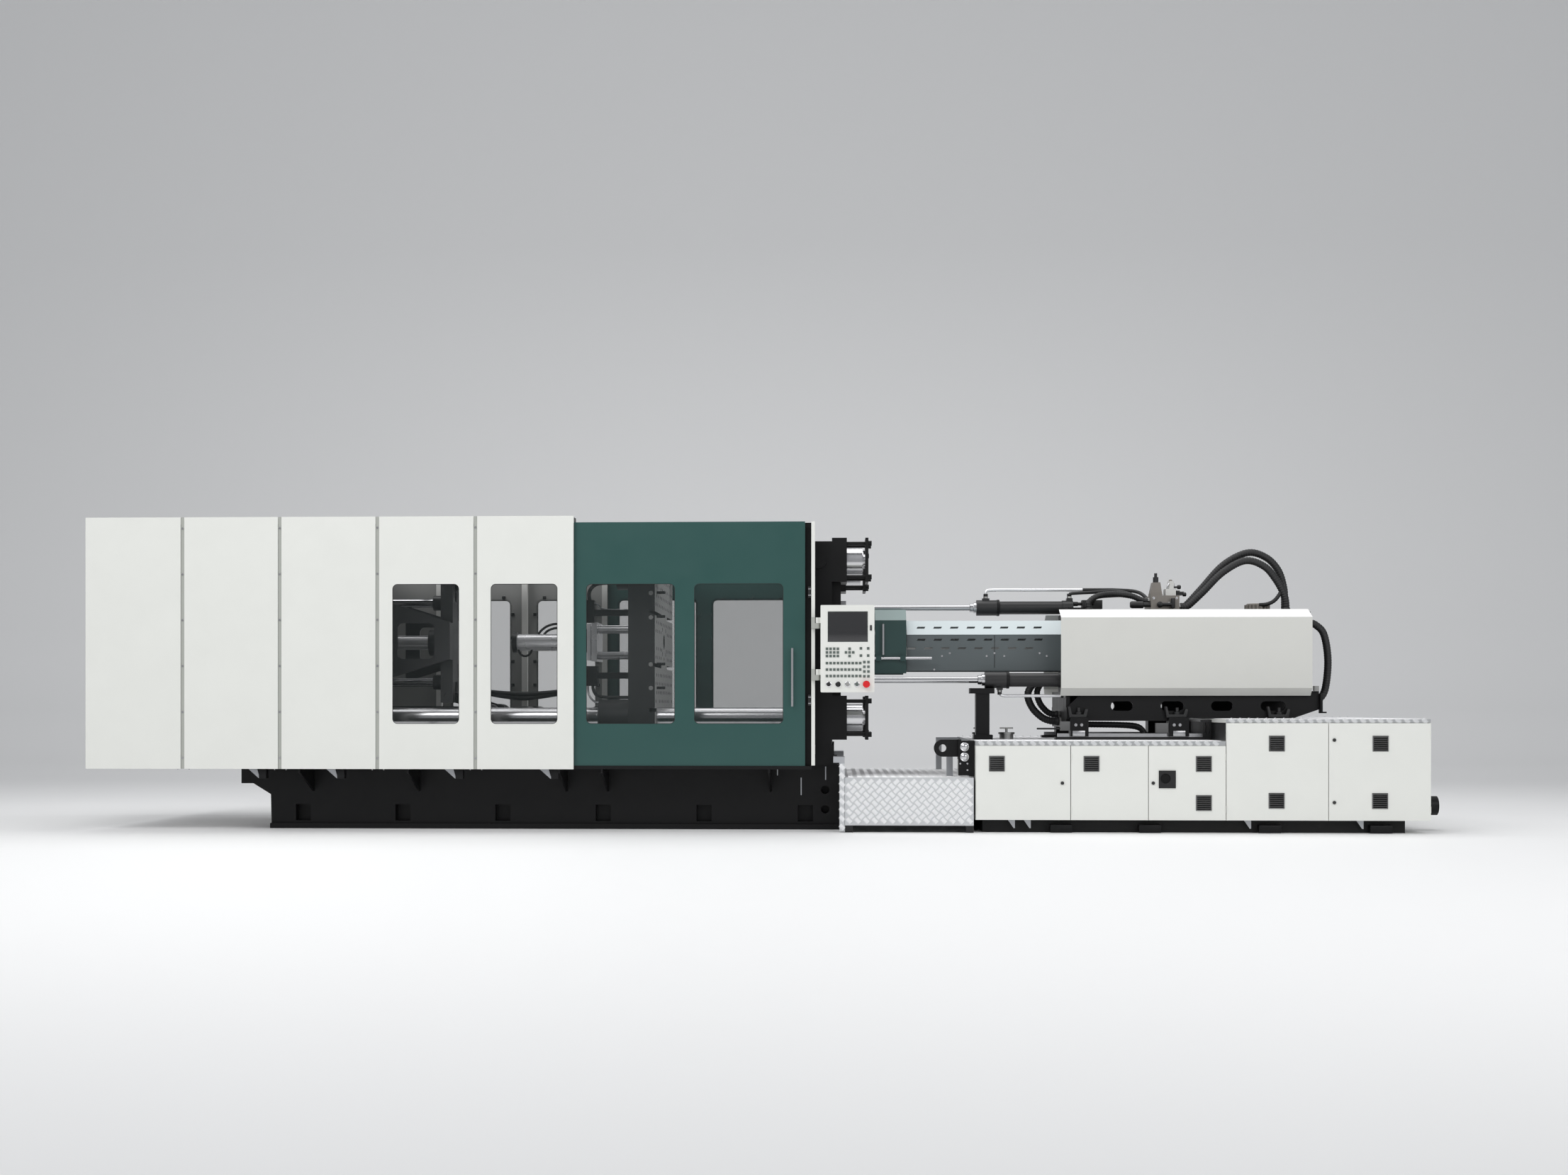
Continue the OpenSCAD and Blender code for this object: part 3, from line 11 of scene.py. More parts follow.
import bmesh
import bpy
from mathutils import Euler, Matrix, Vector


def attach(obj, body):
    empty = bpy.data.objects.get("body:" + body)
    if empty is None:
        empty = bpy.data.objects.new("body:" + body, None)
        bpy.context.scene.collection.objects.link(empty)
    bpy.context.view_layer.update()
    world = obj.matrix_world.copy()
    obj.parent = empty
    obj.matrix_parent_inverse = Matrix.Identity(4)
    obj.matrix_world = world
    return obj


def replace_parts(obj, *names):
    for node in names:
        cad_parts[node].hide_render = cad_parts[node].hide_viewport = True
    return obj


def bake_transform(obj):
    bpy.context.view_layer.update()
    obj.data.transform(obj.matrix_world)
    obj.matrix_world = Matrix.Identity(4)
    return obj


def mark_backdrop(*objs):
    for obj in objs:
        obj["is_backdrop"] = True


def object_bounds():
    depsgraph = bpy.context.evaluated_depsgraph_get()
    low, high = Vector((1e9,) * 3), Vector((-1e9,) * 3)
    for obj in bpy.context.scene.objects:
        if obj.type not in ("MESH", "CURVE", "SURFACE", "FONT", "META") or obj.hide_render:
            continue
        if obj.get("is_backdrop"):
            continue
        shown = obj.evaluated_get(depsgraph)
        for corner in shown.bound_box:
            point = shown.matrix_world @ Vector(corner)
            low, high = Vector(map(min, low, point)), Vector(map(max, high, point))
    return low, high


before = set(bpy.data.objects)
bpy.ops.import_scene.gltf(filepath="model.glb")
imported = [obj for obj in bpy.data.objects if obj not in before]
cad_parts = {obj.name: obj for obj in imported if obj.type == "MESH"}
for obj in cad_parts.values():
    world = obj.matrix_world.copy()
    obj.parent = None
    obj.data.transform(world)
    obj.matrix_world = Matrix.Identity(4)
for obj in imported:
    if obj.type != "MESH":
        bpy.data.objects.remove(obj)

LOG = logging.getLogger("moulding_machine")
MM = 0.001
Point = tuple[float, float, float]
Profile = list[tuple[float, float]]

# Places shared with the CAD part
COVER_Y = 1150.0
COVER_LEFT = -5506.0
PANEL_PITCH = 764.0
DOOR_Y = 1112.0
WINDOW_Z = (834.0, 1915.0)
COVER_WINDOWS = ((-3096.0, -2577.0), (-2331.0, -1813.0))
DOOR_WINDOWS = ((-1596.0, -909.0), (-760.0, -73.0))
CAB_X, CAB_Y = 1401.0, 1100.0
LOW_RIGHT, CAB_RIGHT = 3303.0, 4845.0
LOW_H, TALL_H = 702.0, 871.0
PLATFORM_X = (401.0, 1386.0)
VENT = 118.0
VENTS = (
    (1504, 471), (2224, 471), (3075, 471), (3075, 173), (3626, 627), (3624, 191), (4406, 627), (4402, 191))
HMI_X, HMI_Z, HMI_Y = 214.0, 1076.0, -1250.0

# Turns that lay a piece on a front, a rear or a lower face, and the machine's two sides
FRONT, REAR, UNDER = (math.pi / 2, 0, 0), (-math.pi / 2, 0, 0), (math.pi, 0, 0)
SIDES = ((-1, "front", FRONT), (1, "rear", REAR))

# Heights of the clips beside the windows and over them
CLIP_Z = (950, 1160, 1370, 1580, 1790)
CLIP_TOP = 1940

# The body of the injection unit
CARRIAGE = "injection_carriage"


class Surface(Enum):
    """Kinds of procedural surface."""

    SHEET = "sheet paint"
    CAST = "cast paint"
    TURNED = "turned metal"
    SPECKLE = "speckled metal"
    RUBBER = "rubber skin"


@dataclass(frozen=True)
class Finish:
    """One finish: its colour and how it reflects.

    Args:
        name: The material's name.
        colour: The sRGB colour, 0 to 255 each.
        surface: The procedural surface that it uses.
        slot: The record's material slot that it stands for. Not used.
        roughness: The mean roughness.
        metallic: 1 for bare metal, 0 for paint, rubber and plastic.
        coat: The weight of the clear coat.
        grain: How much the colour varies.
        relief: The height of the bumps, in millimetres.
        alpha: Below 1 for tinted glass.
        specular: How strongly the bare surface reflects.
    """

    name: str
    colour: tuple[int, int, int]
    surface: Surface
    slot: str
    roughness: float = 0.4
    metallic: float = 0.0
    coat: float = 0.0
    grain: float = 0.04
    relief: float = 0.02
    alpha: float = 1.0
    specular: float = 0.5


WHITE = Finish("cover white", (229, 230, 225), Surface.SHEET, "cover_white", 0.36, coat=0.15)
# Painted shade: the injection unit's covers are the same white paint as the clamp covers, given a darker
# tone for their shaded sides.
COVER_SIDE_SHADE = Finish("injection cover side", (211, 211, 206), Surface.SHEET, "cover_white", 0.4)
# Painted highlight: the top band of the injection covers is given a lighter white for the light that falls
# on it.
COVER_EDGE_HIGHLIGHT = Finish("injection cover edge", (252, 252, 250), Surface.SHEET, "cover_white", 0.3, coat=0.2)
GREEN = Finish("door green", (36, 77, 73), Surface.SHEET, "door_green", 0.34, coat=0.2)
GUARD = Finish("guard green", (36, 65, 63), Surface.SHEET, "door_green", 0.36, coat=0.15)
# Painted highlight: the purge guard's top is the same green sheet, given a pale tone for the light from
# above.
GUARD_TOP_HIGHLIGHT = Finish("guard top", (120, 140, 138), Surface.SHEET, "door_green", 0.36, coat=0.15)
BLACK = Finish(
    "casting black", (19, 19, 20), Surface.CAST, "casting_black", 0.42, grain=0.12, relief=0.35,
    specular=0.22)
LINKS = Finish("link casting", (64, 64, 65), Surface.CAST, "casting_black", 0.42, grain=0.12, relief=0.2)
PLATEN = Finish("platen paint", (34, 34, 35), Surface.CAST, "casting_black", 0.5, grain=0.06, relief=0.06)
MACHINED = Finish("machined face", (196, 196, 195), Surface.SPECKLE, "casting_black", 0.5, grain=0.3)
CYLINDER = Finish("cylinder paint", (34, 34, 35), Surface.CAST, "casting_black", 0.4, grain=0.1, relief=0.2)
# The plinth's black paint, made darker than the casting black and almost without sheen as painted shade
# under the cabinet doors.
PLINTH_BLACK_SHADE = Finish(
    "plinth black", (6, 6, 7), Surface.CAST, "casting_black", 0.75, grain=0.1, relief=0.3, specular=0.12)
STRIP = Finish("strip grey", (170, 172, 166), Surface.SHEET, "strip_grey", 0.4)
HOOD = Finish("hood grey", (88, 96, 98), Surface.SHEET, "hood_grey", 0.38)
# Painted reflection: the barrel cover's upper slope is the same grey sheet, given a pale tone for the light
# and backdrop that it reflects.
HOOD_TOP_REFLECTION = Finish("hood top", (184, 193, 195), Surface.SPECKLE, "hood_grey", 0.34, metallic=0.2)
VENT_GREY = Finish("vent grey", (98, 98, 98), Surface.SHEET, "key_grey", 0.5)
# Painted reflection: bright steel pipes and ejector parts are made part diffuse white, so that they look
# lit where they would mirror the dark inside of the machine.
BRIGHT_REFLECTION = Finish("bright pipe", (238, 238, 240), Surface.TURNED, "bright_steel", 0.26, metallic=0.55)
CHROME = Finish("turned chrome", (205, 205, 207), Surface.TURNED, "bright_steel", 0.2, metallic=1.0)
STEEL = Finish("plain steel", (170, 170, 168), Surface.TURNED, "tank_steel", 0.34, metallic=1.0)
TREAD = Finish("tread plate", (200, 202, 204), Surface.SPECKLE, "checker_aluminium", 0.42, metallic=0.25)
DECK = Finish("deck plate", (166, 168, 170), Surface.SPECKLE, "checker_aluminium", 0.42, metallic=0.25)
# Painted highlight: the deck and tread bars are the same aluminium as their plates, given lighter tones for
# the light that catches the raised bars.
DECK_BAR_HIGHLIGHT = Finish("deck bars", (226, 227, 228), Surface.SPECKLE, "checker_aluminium", 0.38, metallic=0.2)
TREAD_BAR_HIGHLIGHT = Finish("tread bars", (250, 250, 251), Surface.SPECKLE, "checker_aluminium", 0.35, metallic=0.2)
MANIFOLD = Finish(
    "manifold block", (132, 127, 121), Surface.SPECKLE, "manifold_grey", 0.5, metallic=0.35, relief=0.25)
VALVE = Finish(
    "valve grey", (205, 205, 202), Surface.SPECKLE, "manifold_grey", 0.4, metallic=0.3, relief=0.2)
GLASS = Finish(
    "tinted pane", (62, 68, 68), Surface.SHEET, "tinted_glass", 0.06, grain=0.0, relief=0.0, alpha=0.1)
PANE = Finish(
    "tinted door pane", (62, 68, 68), Surface.SHEET, "tinted_glass", 0.06, grain=0.0, relief=0.0,
    alpha=0.18)
KEYS = Finish("key caps", (90, 100, 95), Surface.SHEET, "key_grey", 0.55)
SCREEN = Finish("screen", (40, 40, 42), Surface.SHEET, "key_grey", 0.12, coat=0.6, relief=0.0)
RED = Finish("stop red", (215, 25, 32), Surface.SHEET, "stop_red", 0.25, coat=0.4)
PLASTIC = Finish("black plastic", (30, 30, 31), Surface.RUBBER, "button_black", 0.45)
IVORY = Finish("white button", (150, 150, 148), Surface.SHEET, "button_white", 0.3)
RUBBER = Finish("hose rubber", (32, 32, 33), Surface.RUBBER, "hose_rubber", 0.52, relief=0.15)
GASKET = Finish("gasket", (24, 24, 25), Surface.RUBBER, "hose_rubber", 0.6)
FLANGE = Finish("flange black", (12, 12, 13), Surface.RUBBER, "button_black", 0.6, specular=0.15)
# Painted shade: open holes are given a pure black without sheen for the shade inside them.
BORE_SHADE = Finish("open bore", (1, 1, 1), Surface.RUBBER, "button_black", 0.9, specular=0.0)
# Painted shade: the inner faces of the white covers are the same sheet, given a speckled grey for the shade
# inside the covers.
INNER_SHADE = Finish("inner liner", (150, 150, 148), Surface.SPECKLE, "cover_white", 0.6, grain=0.3)
POST = Finish("cover posts", (232, 232, 228), Surface.SPECKLE, "strip_grey", 0.55, grain=0.3)
CHANNEL = Finish("channel grey", (176, 178, 182), Surface.SHEET, "strip_grey", 0.42, metallic=0.4)

NODE_FINISH = {name: finish for finish, names in (
    (CHROME, "tie_bars tie_bar_nuts crosshead_guides linear_rails carriage_rods screw"),
    (STEEL, "adjusting_nuts oil_tank tank_cap_left tank_cap_right barrel"),
    # The ejector parts take the painted reflection of bright steel.
    (BRIGHT_REFLECTION, "ejector_cylinder ejector_plate"),
    (WHITE, "cover_panels edge_plates hmi_box injection_base"),
    (STRIP, "joint_strips hmi_bracket"),
    (GLASS, "cover_windows"),
    (GREEN, "front_door rear_door"),
    (PANE, "front_door_panes rear_door_panes"),
    (KEYS, "hmi_keypad"),
    (RED, "hmi_stop_button"),
    (PLASTIC, "hmi_black_button hmi_selector"),
    (IVORY, "hmi_white_button"),
    (TREAD, "platform"),
    # The injection covers take the darker cover white, which is painted shade on their sides.
    (COVER_SIDE_SHADE, "injection_covers"),
    (HOOD, "barrel_cover"),
    (GUARD, "purge_guard"),
    (MANIFOLD, "manifold"),
    (RUBBER, "hoses"),
    (LINKS, "upper_rear_links lower_rear_links upper_front_links lower_front_links crosshead"),
    (PLATEN, "moving_platen"),
    (CYLINDER, "carriage_cylinders"),
) for name in names.split()}


@dataclass(frozen=True)
class Patch:
    """A box, in millimetres, inside which a material has another finish.

    Args:
        low: The box's lowest corner.
        high: The box's highest corner.
    """

    low: Point
    high: Point


@dataclass(frozen=True)
class Layer:
    """A finish laid over a node's own one inside some boxes.

    Args:
        finish: The finish of the layer.
        patches: The boxes that it fills.
    """

    finish: Finish
    patches: tuple[Patch, ...]


VENT_PATCHES = tuple(
    Patch((x - 1, -CAB_Y - 9, z - 1), (x + VENT + 1, -CAB_Y + 12, z + VENT + 1)) for x, z in VENTS)
LOCK_PATCHES = tuple(
    Patch((x - 16, -CAB_Y - 12, z - 16), (x + 16, -CAB_Y - 0.5, z + 16))
    for x, z in ((2061, 382), (2751, 383), (4117, 713), (4117, 237)))
DOOR_LAYERS = (Layer(VENT_GREY, VENT_PATCHES),
               Layer(PLASTIC, LOCK_PATCHES),
               Layer(FLANGE, (Patch((2792, -CAB_Y - 9, 343), (2922, -CAB_Y - 0.5, 480)),)),
               # The box's open hole is a patch of painted shade on the door.
               Layer(BORE_SHADE, (Patch((2800, -CAB_Y - 0.6, 350), (2890, -CAB_Y + 3, 470)),)))
# Painted shade: dark strips on the base behind the gaps between the cabinet doors, for the shade in the
# gaps.
SEAM_SHADE_PATCHES = tuple(
    Patch((x - 6, -CAB_Y + 19, 100), (x + 6, -CAB_Y + 30, top))
    for x, top in ((2125, 668), (2715, 668), (3303, 668), (4075, 843)))
NODE_LAYERS = {
    "cover_frame": (Layer(POST, (Patch((-5503, -1148, 545), (-1690, 1148, 2383)),)),),
    # The covers' inner faces are painted shade.
    "cover_panels": (Layer(INNER_SHADE, (Patch((-5503, -1148.6, 400), (-1680, 1148.6, 2383)),)),),
    "front_door": (Layer(CHROME, (Patch((-20, -1200, 900), (20, -DOOR_Y - 0.5, 1500)),)),),
    "rear_door": (Layer(CHROME, (Patch((-20, DOOR_Y + 0.5, 900), (20, 1200, 1500)),)),),
    # The plinth band below the doors is black paint darkened further as painted shade.
    "injection_base": (Layer(PLINTH_BLACK_SHADE, (Patch((1300, -1200, -1), (4900, 1200, 97.5)),)),
                       Layer(DECK, (Patch((1300, -1200, 669.5), (3303, 1200, 705)),
                                     Patch((3303, -1200, 844.5), (4900, 1200, 880)))),
                       Layer(BLACK, (Patch((3298, -1200, 705.5), (3304.5, 1200, 843.5)),)),
                       Layer(CHANNEL, (Patch((1100, -1200, 0), (1400.5, 1200, 720)),)),
                       # The strips behind the door gaps are painted shade.
                       Layer(GASKET, SEAM_SHADE_PATCHES)),
    # The top band of the injection covers is painted highlight.
    "injection_covers": (Layer(COVER_EDGE_HIGHLIGHT, (Patch((2000, -621, 1672.5), (4200, 621, 1760)),)),),
    "ejector_cylinder": (Layer(BLACK, (Patch((-2353, -90, 1410), (-2313.8, 90, 1590)),
                                       Patch((-1756.2, -90, 1410), (-1719, 90, 1590)))),),
    "moving_platen": (Layer(MACHINED, (Patch((-1095, -794, 700), (-1093.5, 794, 2300)),)),),
    # The clamp rod seen in the crosshead's hole takes the painted reflection of bright steel.
    "crosshead": (Layer(BRIGHT_REFLECTION, (Patch((-6000, -61, 1439), (-3049, 61, 1561)),)),),
    "gauge_bracket": (Layer(CHROME, (Patch((1280, -1030, 530), (1370, -1000.5, 700)),)),),
    "platform": (Layer(CHANNEL, (Patch((300, -1200, 530), (400, 1200, 600)),)),
                 # Painted shade: the platform's lowest strip is painted black for the shaded gap under it.
                 Layer(BLACK, (Patch((401.5, -1200, -1), (1386, 1200, 54)),))),
    "linear_rails": (Layer(BLACK, (Patch((2000, -700, 700), (3400, 700, 727)),
                                   Patch((3232, -700, 727), (3400, 700, 870)))),),
    "manifold": (Layer(VALVE, (Patch((3020, -70, 1872.5), (3109, 70, 2000)),)),
                 Layer(PLASTIC, (Patch((2900, -70, 1984.5), (3005, 70, 2100)),
                                 Patch((3109.5, -70, 1860), (3200, 70, 1940))))),
    # The barrel cover's upper slope is painted reflection.
    "barrel_cover": (Layer(HOOD_TOP_REFLECTION, (Patch((800, -280, 1551.5), (2300, 280, 1700)),)),),
    # The purge guard's top is painted highlight.
    "purge_guard": (Layer(GUARD_TOP_HIGHLIGHT, (Patch((600, -335, 1664), (920, 335, 1800)),)),
                    Layer(CHROME, (Patch((700, -380, 1380), (725, -342, 1640)),
                                   Patch((700, 342, 1380), (725, 380, 1640))))),
}


def linear(colour: tuple[int, int, int]) -> tuple[float, float, float, float]:
    """Turns an sRGB colour, 0 to 255, into the linear one that shaders take, with an alpha of 1."""
    out = [c / 255 / 12.92 if c <= 10 else ((c / 255 + 0.055) / 1.055) ** 2.4 for c in colour]
    return (out[0], out[1], out[2], 1.0)


# The kind of socket that a default value of each type asks for
SOCKETS = {
    float: "NodeSocketFloat", int: "NodeSocketInt", tuple: "NodeSocketColor", Vector: "NodeSocketVector",
    Euler: "NodeSocketRotation", type(None): "NodeSocketMaterial",
}


class NodeGraph:
    """Adds nodes and links to a node tree by short calls."""

    def __init__(self, tree: bpy.types.NodeTree) -> None:
        """Keeps the tree that the nodes go into."""
        self.tree = tree

    def inputs(self, defaults: dict[str, object]) -> dict[str, str]:
        """Args:
            defaults: Each input's default by name. Its type gives the kind of socket, and None a material.

        Returns:
            The inputs' identifiers by name.
        """
        identifiers = {}
        for name, default in defaults.items():
            socket = self.tree.interface.new_socket(
                name, in_out="INPUT", socket_type=SOCKETS[type(default)])
            if default is not None:
                socket.default_value = default
            identifiers[name] = socket.identifier
        return identifiers

    def outputs(self, **kinds: str) -> None:
        for name, kind in kinds.items():
            self.tree.interface.new_socket(name, in_out="OUTPUT", socket_type="NodeSocket" + kind)

    def add(self, kind: str, settings: dict | None = None, **values: object) -> bpy.types.Node:
        """Adds one node.

        Args:
            kind: The node's type name.
            settings: Attributes of the node itself, set before its sockets.
            values: Plain values, sockets or nodes to link, by the input's name with _ for a space, or i
                and its number.

        Returns:
            The new node.
        """
        node = self.tree.nodes.new(kind)
        for key, value in (settings or {}).items():
            setattr(node, key, value)
        for key, value in values.items():
            name = key.replace("_", " ")
            index = int(key[1:]) if key[0] == "i" and key[1:].isdigit() else name
            self.feed(node.inputs[index], value)
        return node

    def feed(self, socket: bpy.types.NodeSocket, value: object) -> None:
        """Links an output to the socket, or sets the socket's own value.

        Args:
            socket: The input socket.
            value: An output socket, a node that stands for its first output, or a plain value.
        """
        if isinstance(value, bpy.types.Node):
            value = value.outputs[0]
        if isinstance(value, bpy.types.NodeSocket):
            self.tree.links.new(value, socket)
        else:
            socket.default_value = value

    def math(self, operation: str, a: object, b: object = 0.0, c: object = 0.5) -> bpy.types.Node:
        """Adds a Math node with up to three values or sockets."""
        return self.add("ShaderNodeMath", {"operation": operation}, i0=a, i1=b, i2=c)

    def vector(self, operation: str, a: object, b: object = (0, 0, 0)) -> bpy.types.Node:
        """Adds a Vector Math node with up to two values or sockets."""
        return self.add("ShaderNodeVectorMath", {"operation": operation}, i0=a, i1=b)


@dataclass(frozen=True)
class Texture:
    """Sizes of the noise on a surface.

    Args:
        stretch: The scale of the object's coordinates.
        patches: The noise scale of the broad patches.
        grit: The noise scale of the fine grain.
    """

    stretch: float
    patches: float
    grit: float


TEXTURES = {
    Surface.SHEET: Texture(3.0, 1.6, 700.0),
    Surface.CAST: Texture(1.0, 9.0, 160.0),
    Surface.TURNED: Texture(1.0, 5.0, 400.0),
    Surface.SPECKLE: Texture(1.0, 45.0, 320.0),
    Surface.RUBBER: Texture(1.0, 20.0, 500.0),
}

# How far the broad patches shift the roughness, and how strong the bumps are
ROUGHNESS_SHIFT = 0.18
BUMP_STRENGTH = 0.35


class SurfaceLibrary:
    """Shader node groups shared by the materials, one for each kind of surface."""

    def __init__(self) -> None:
        """Builds all the groups."""
        self.groups = {
            surface: self._surface(surface.value, texture) for surface, texture in TEXTURES.items()}
        self.mask = self._box_mask()

    @staticmethod
    def _surface(name: str, texture: Texture) -> bpy.types.NodeTree:
        """Builds the group of one kind of surface.

        Args:
            name: The group's name.
            texture: The sizes of its noise.

        Returns:
            The group.
        """
        graph = NodeGraph(bpy.data.node_groups.new(name, "ShaderNodeTree"))
        graph.inputs({"Colour": (0.5, 0.5, 0.5, 1), "Grain": 0.05, "Roughness": 0.4})
        graph.outputs(Colour="Color", Roughness="Float", Height="Float")
        given = graph.add("NodeGroupInput").outputs
        place = graph.add("ShaderNodeTexCoord").outputs["Object"]
        stretched = graph.add("ShaderNodeMapping", Vector=place, Scale=(texture.stretch,) * 3)
        broad = graph.add("ShaderNodeTexNoise", Vector=stretched, Scale=texture.patches, Detail=4.0)
        fine = graph.add(
            "ShaderNodeTexNoise", Vector=stretched, Scale=texture.grit, Detail=2.0).outputs["Fac"]
        shift = graph.math("SUBTRACT", broad.outputs["Fac"], 0.5)
        gain = graph.math("MULTIPLY_ADD", shift, given["Grain"], 1.0)
        speck = graph.math("MULTIPLY", graph.math("SUBTRACT", fine, 0.5), given["Grain"])
        value = graph.math("ADD", gain, speck)
        colour = graph.add("ShaderNodeHueSaturation", Value=value, Color=given["Colour"])
        rough = graph.math("ADD", given["Roughness"], graph.math("MULTIPLY", shift, ROUGHNESS_SHIFT))
        graph.add("NodeGroupOutput", Colour=colour, Roughness=rough, Height=fine)
        return graph.tree

    @staticmethod
    def _box_mask() -> bpy.types.NodeTree:
        """Builds the group that tells if a point is inside a box.

        Returns:
            The group.
        """
        graph = NodeGraph(bpy.data.node_groups.new("box mask", "ShaderNodeTree"))
        graph.inputs({"Centre": Vector((0, 0, 0)), "Half": Vector((1, 1, 1)), "Before": 0.0})
        graph.outputs(Mask="Float")
        given = graph.add("NodeGroupInput").outputs
        place = graph.add("ShaderNodeTexCoord").outputs["Object"]
        size = graph.vector("ABSOLUTE", graph.vector("SUBTRACT", place, given["Centre"]))
        over = graph.vector("SUBTRACT", size, given["Half"])
        parts = graph.add("ShaderNodeSeparateXYZ", Vector=over).outputs
        worst = graph.math("MAXIMUM", graph.math("MAXIMUM", parts[0], parts[1]), parts[2])
        inside = graph.math("LESS_THAN", worst, 0.0)
        graph.add("NodeGroupOutput", Mask=graph.math("MAXIMUM", inside, given["Before"]))
        return graph.tree


class MaterialShop:
    """Makes each material once and hands it out."""

    def __init__(self) -> None:
        """Starts with the shared groups and no material."""
        self.library = SurfaceLibrary()
        self.made: dict[str, bpy.types.Material] = {}

    def get(self, finish: Finish, layers: tuple[Layer, ...] = (), name: str = "") -> bpy.types.Material:
        """Gives the material of a finish, made at its first use.

        Args:
            finish: The finish.
            layers: Other finishes laid over it inside boxes.
            name: The material's own name where it has layers.

        Returns:
            The material.
        """
        key = name or finish.name
        if key in self.made:
            return self.made[key]
        material = bpy.data.materials.new(key)
        material.use_nodes = True
        material.node_tree.nodes.clear()
        graph = NodeGraph(material.node_tree)
        group = graph.add(
            "ShaderNodeGroup", {"node_tree": self.library.groups[finish.surface]},
            Colour=linear(finish.colour), Grain=finish.grain, Roughness=finish.roughness)
        colour, rough = group.outputs["Colour"], group.outputs["Roughness"]
        metal, coat = finish.metallic, finish.coat
        for layer in layers:
            mask, top = self._mask(graph, layer.patches), layer.finish
            colour = graph.add(
                "ShaderNodeMix", {"data_type": "RGBA"}, i0=mask, i6=colour, i7=linear(top.colour))
            colour = colour.outputs[2]
            rough = graph.add("ShaderNodeMix", i0=mask, i2=rough, i3=top.roughness)
            metal = graph.add("ShaderNodeMix", i0=mask, i2=metal, i3=top.metallic)
            coat = graph.add("ShaderNodeMix", i0=mask, i2=coat, i3=top.coat)
        shader = graph.add(
            "ShaderNodeBsdfPrincipled", Base_Color=colour, Roughness=rough, Metallic=metal,
            Coat_Weight=coat, Alpha=finish.alpha, Specular_IOR_Level=finish.specular)
        if finish.relief > 0:
            bump = graph.add(
                "ShaderNodeBump", Strength=BUMP_STRENGTH, Distance=finish.relief * MM,
                Height=group.outputs["Height"])
            graph.feed(shader.inputs["Normal"], bump)
        graph.add("ShaderNodeOutputMaterial", Surface=shader)
        self.made[key] = material
        return material

    def _mask(self, graph: NodeGraph, patches: tuple[Patch, ...]) -> object:
        """Adds the mask of some boxes.

        Args:
            graph: The material's graph.
            patches: The boxes.

        Returns:
            The node that is 1 inside any of them.
        """
        mask: object = 0.0
        for patch in patches:
            low, high = Vector(patch.low) * MM, Vector(patch.high) * MM
            mask = graph.add(
                "ShaderNodeGroup", {"node_tree": self.library.mask}, Centre=(low + high) / 2,
                Half=(high - low) / 2, Before=mask)
        return mask


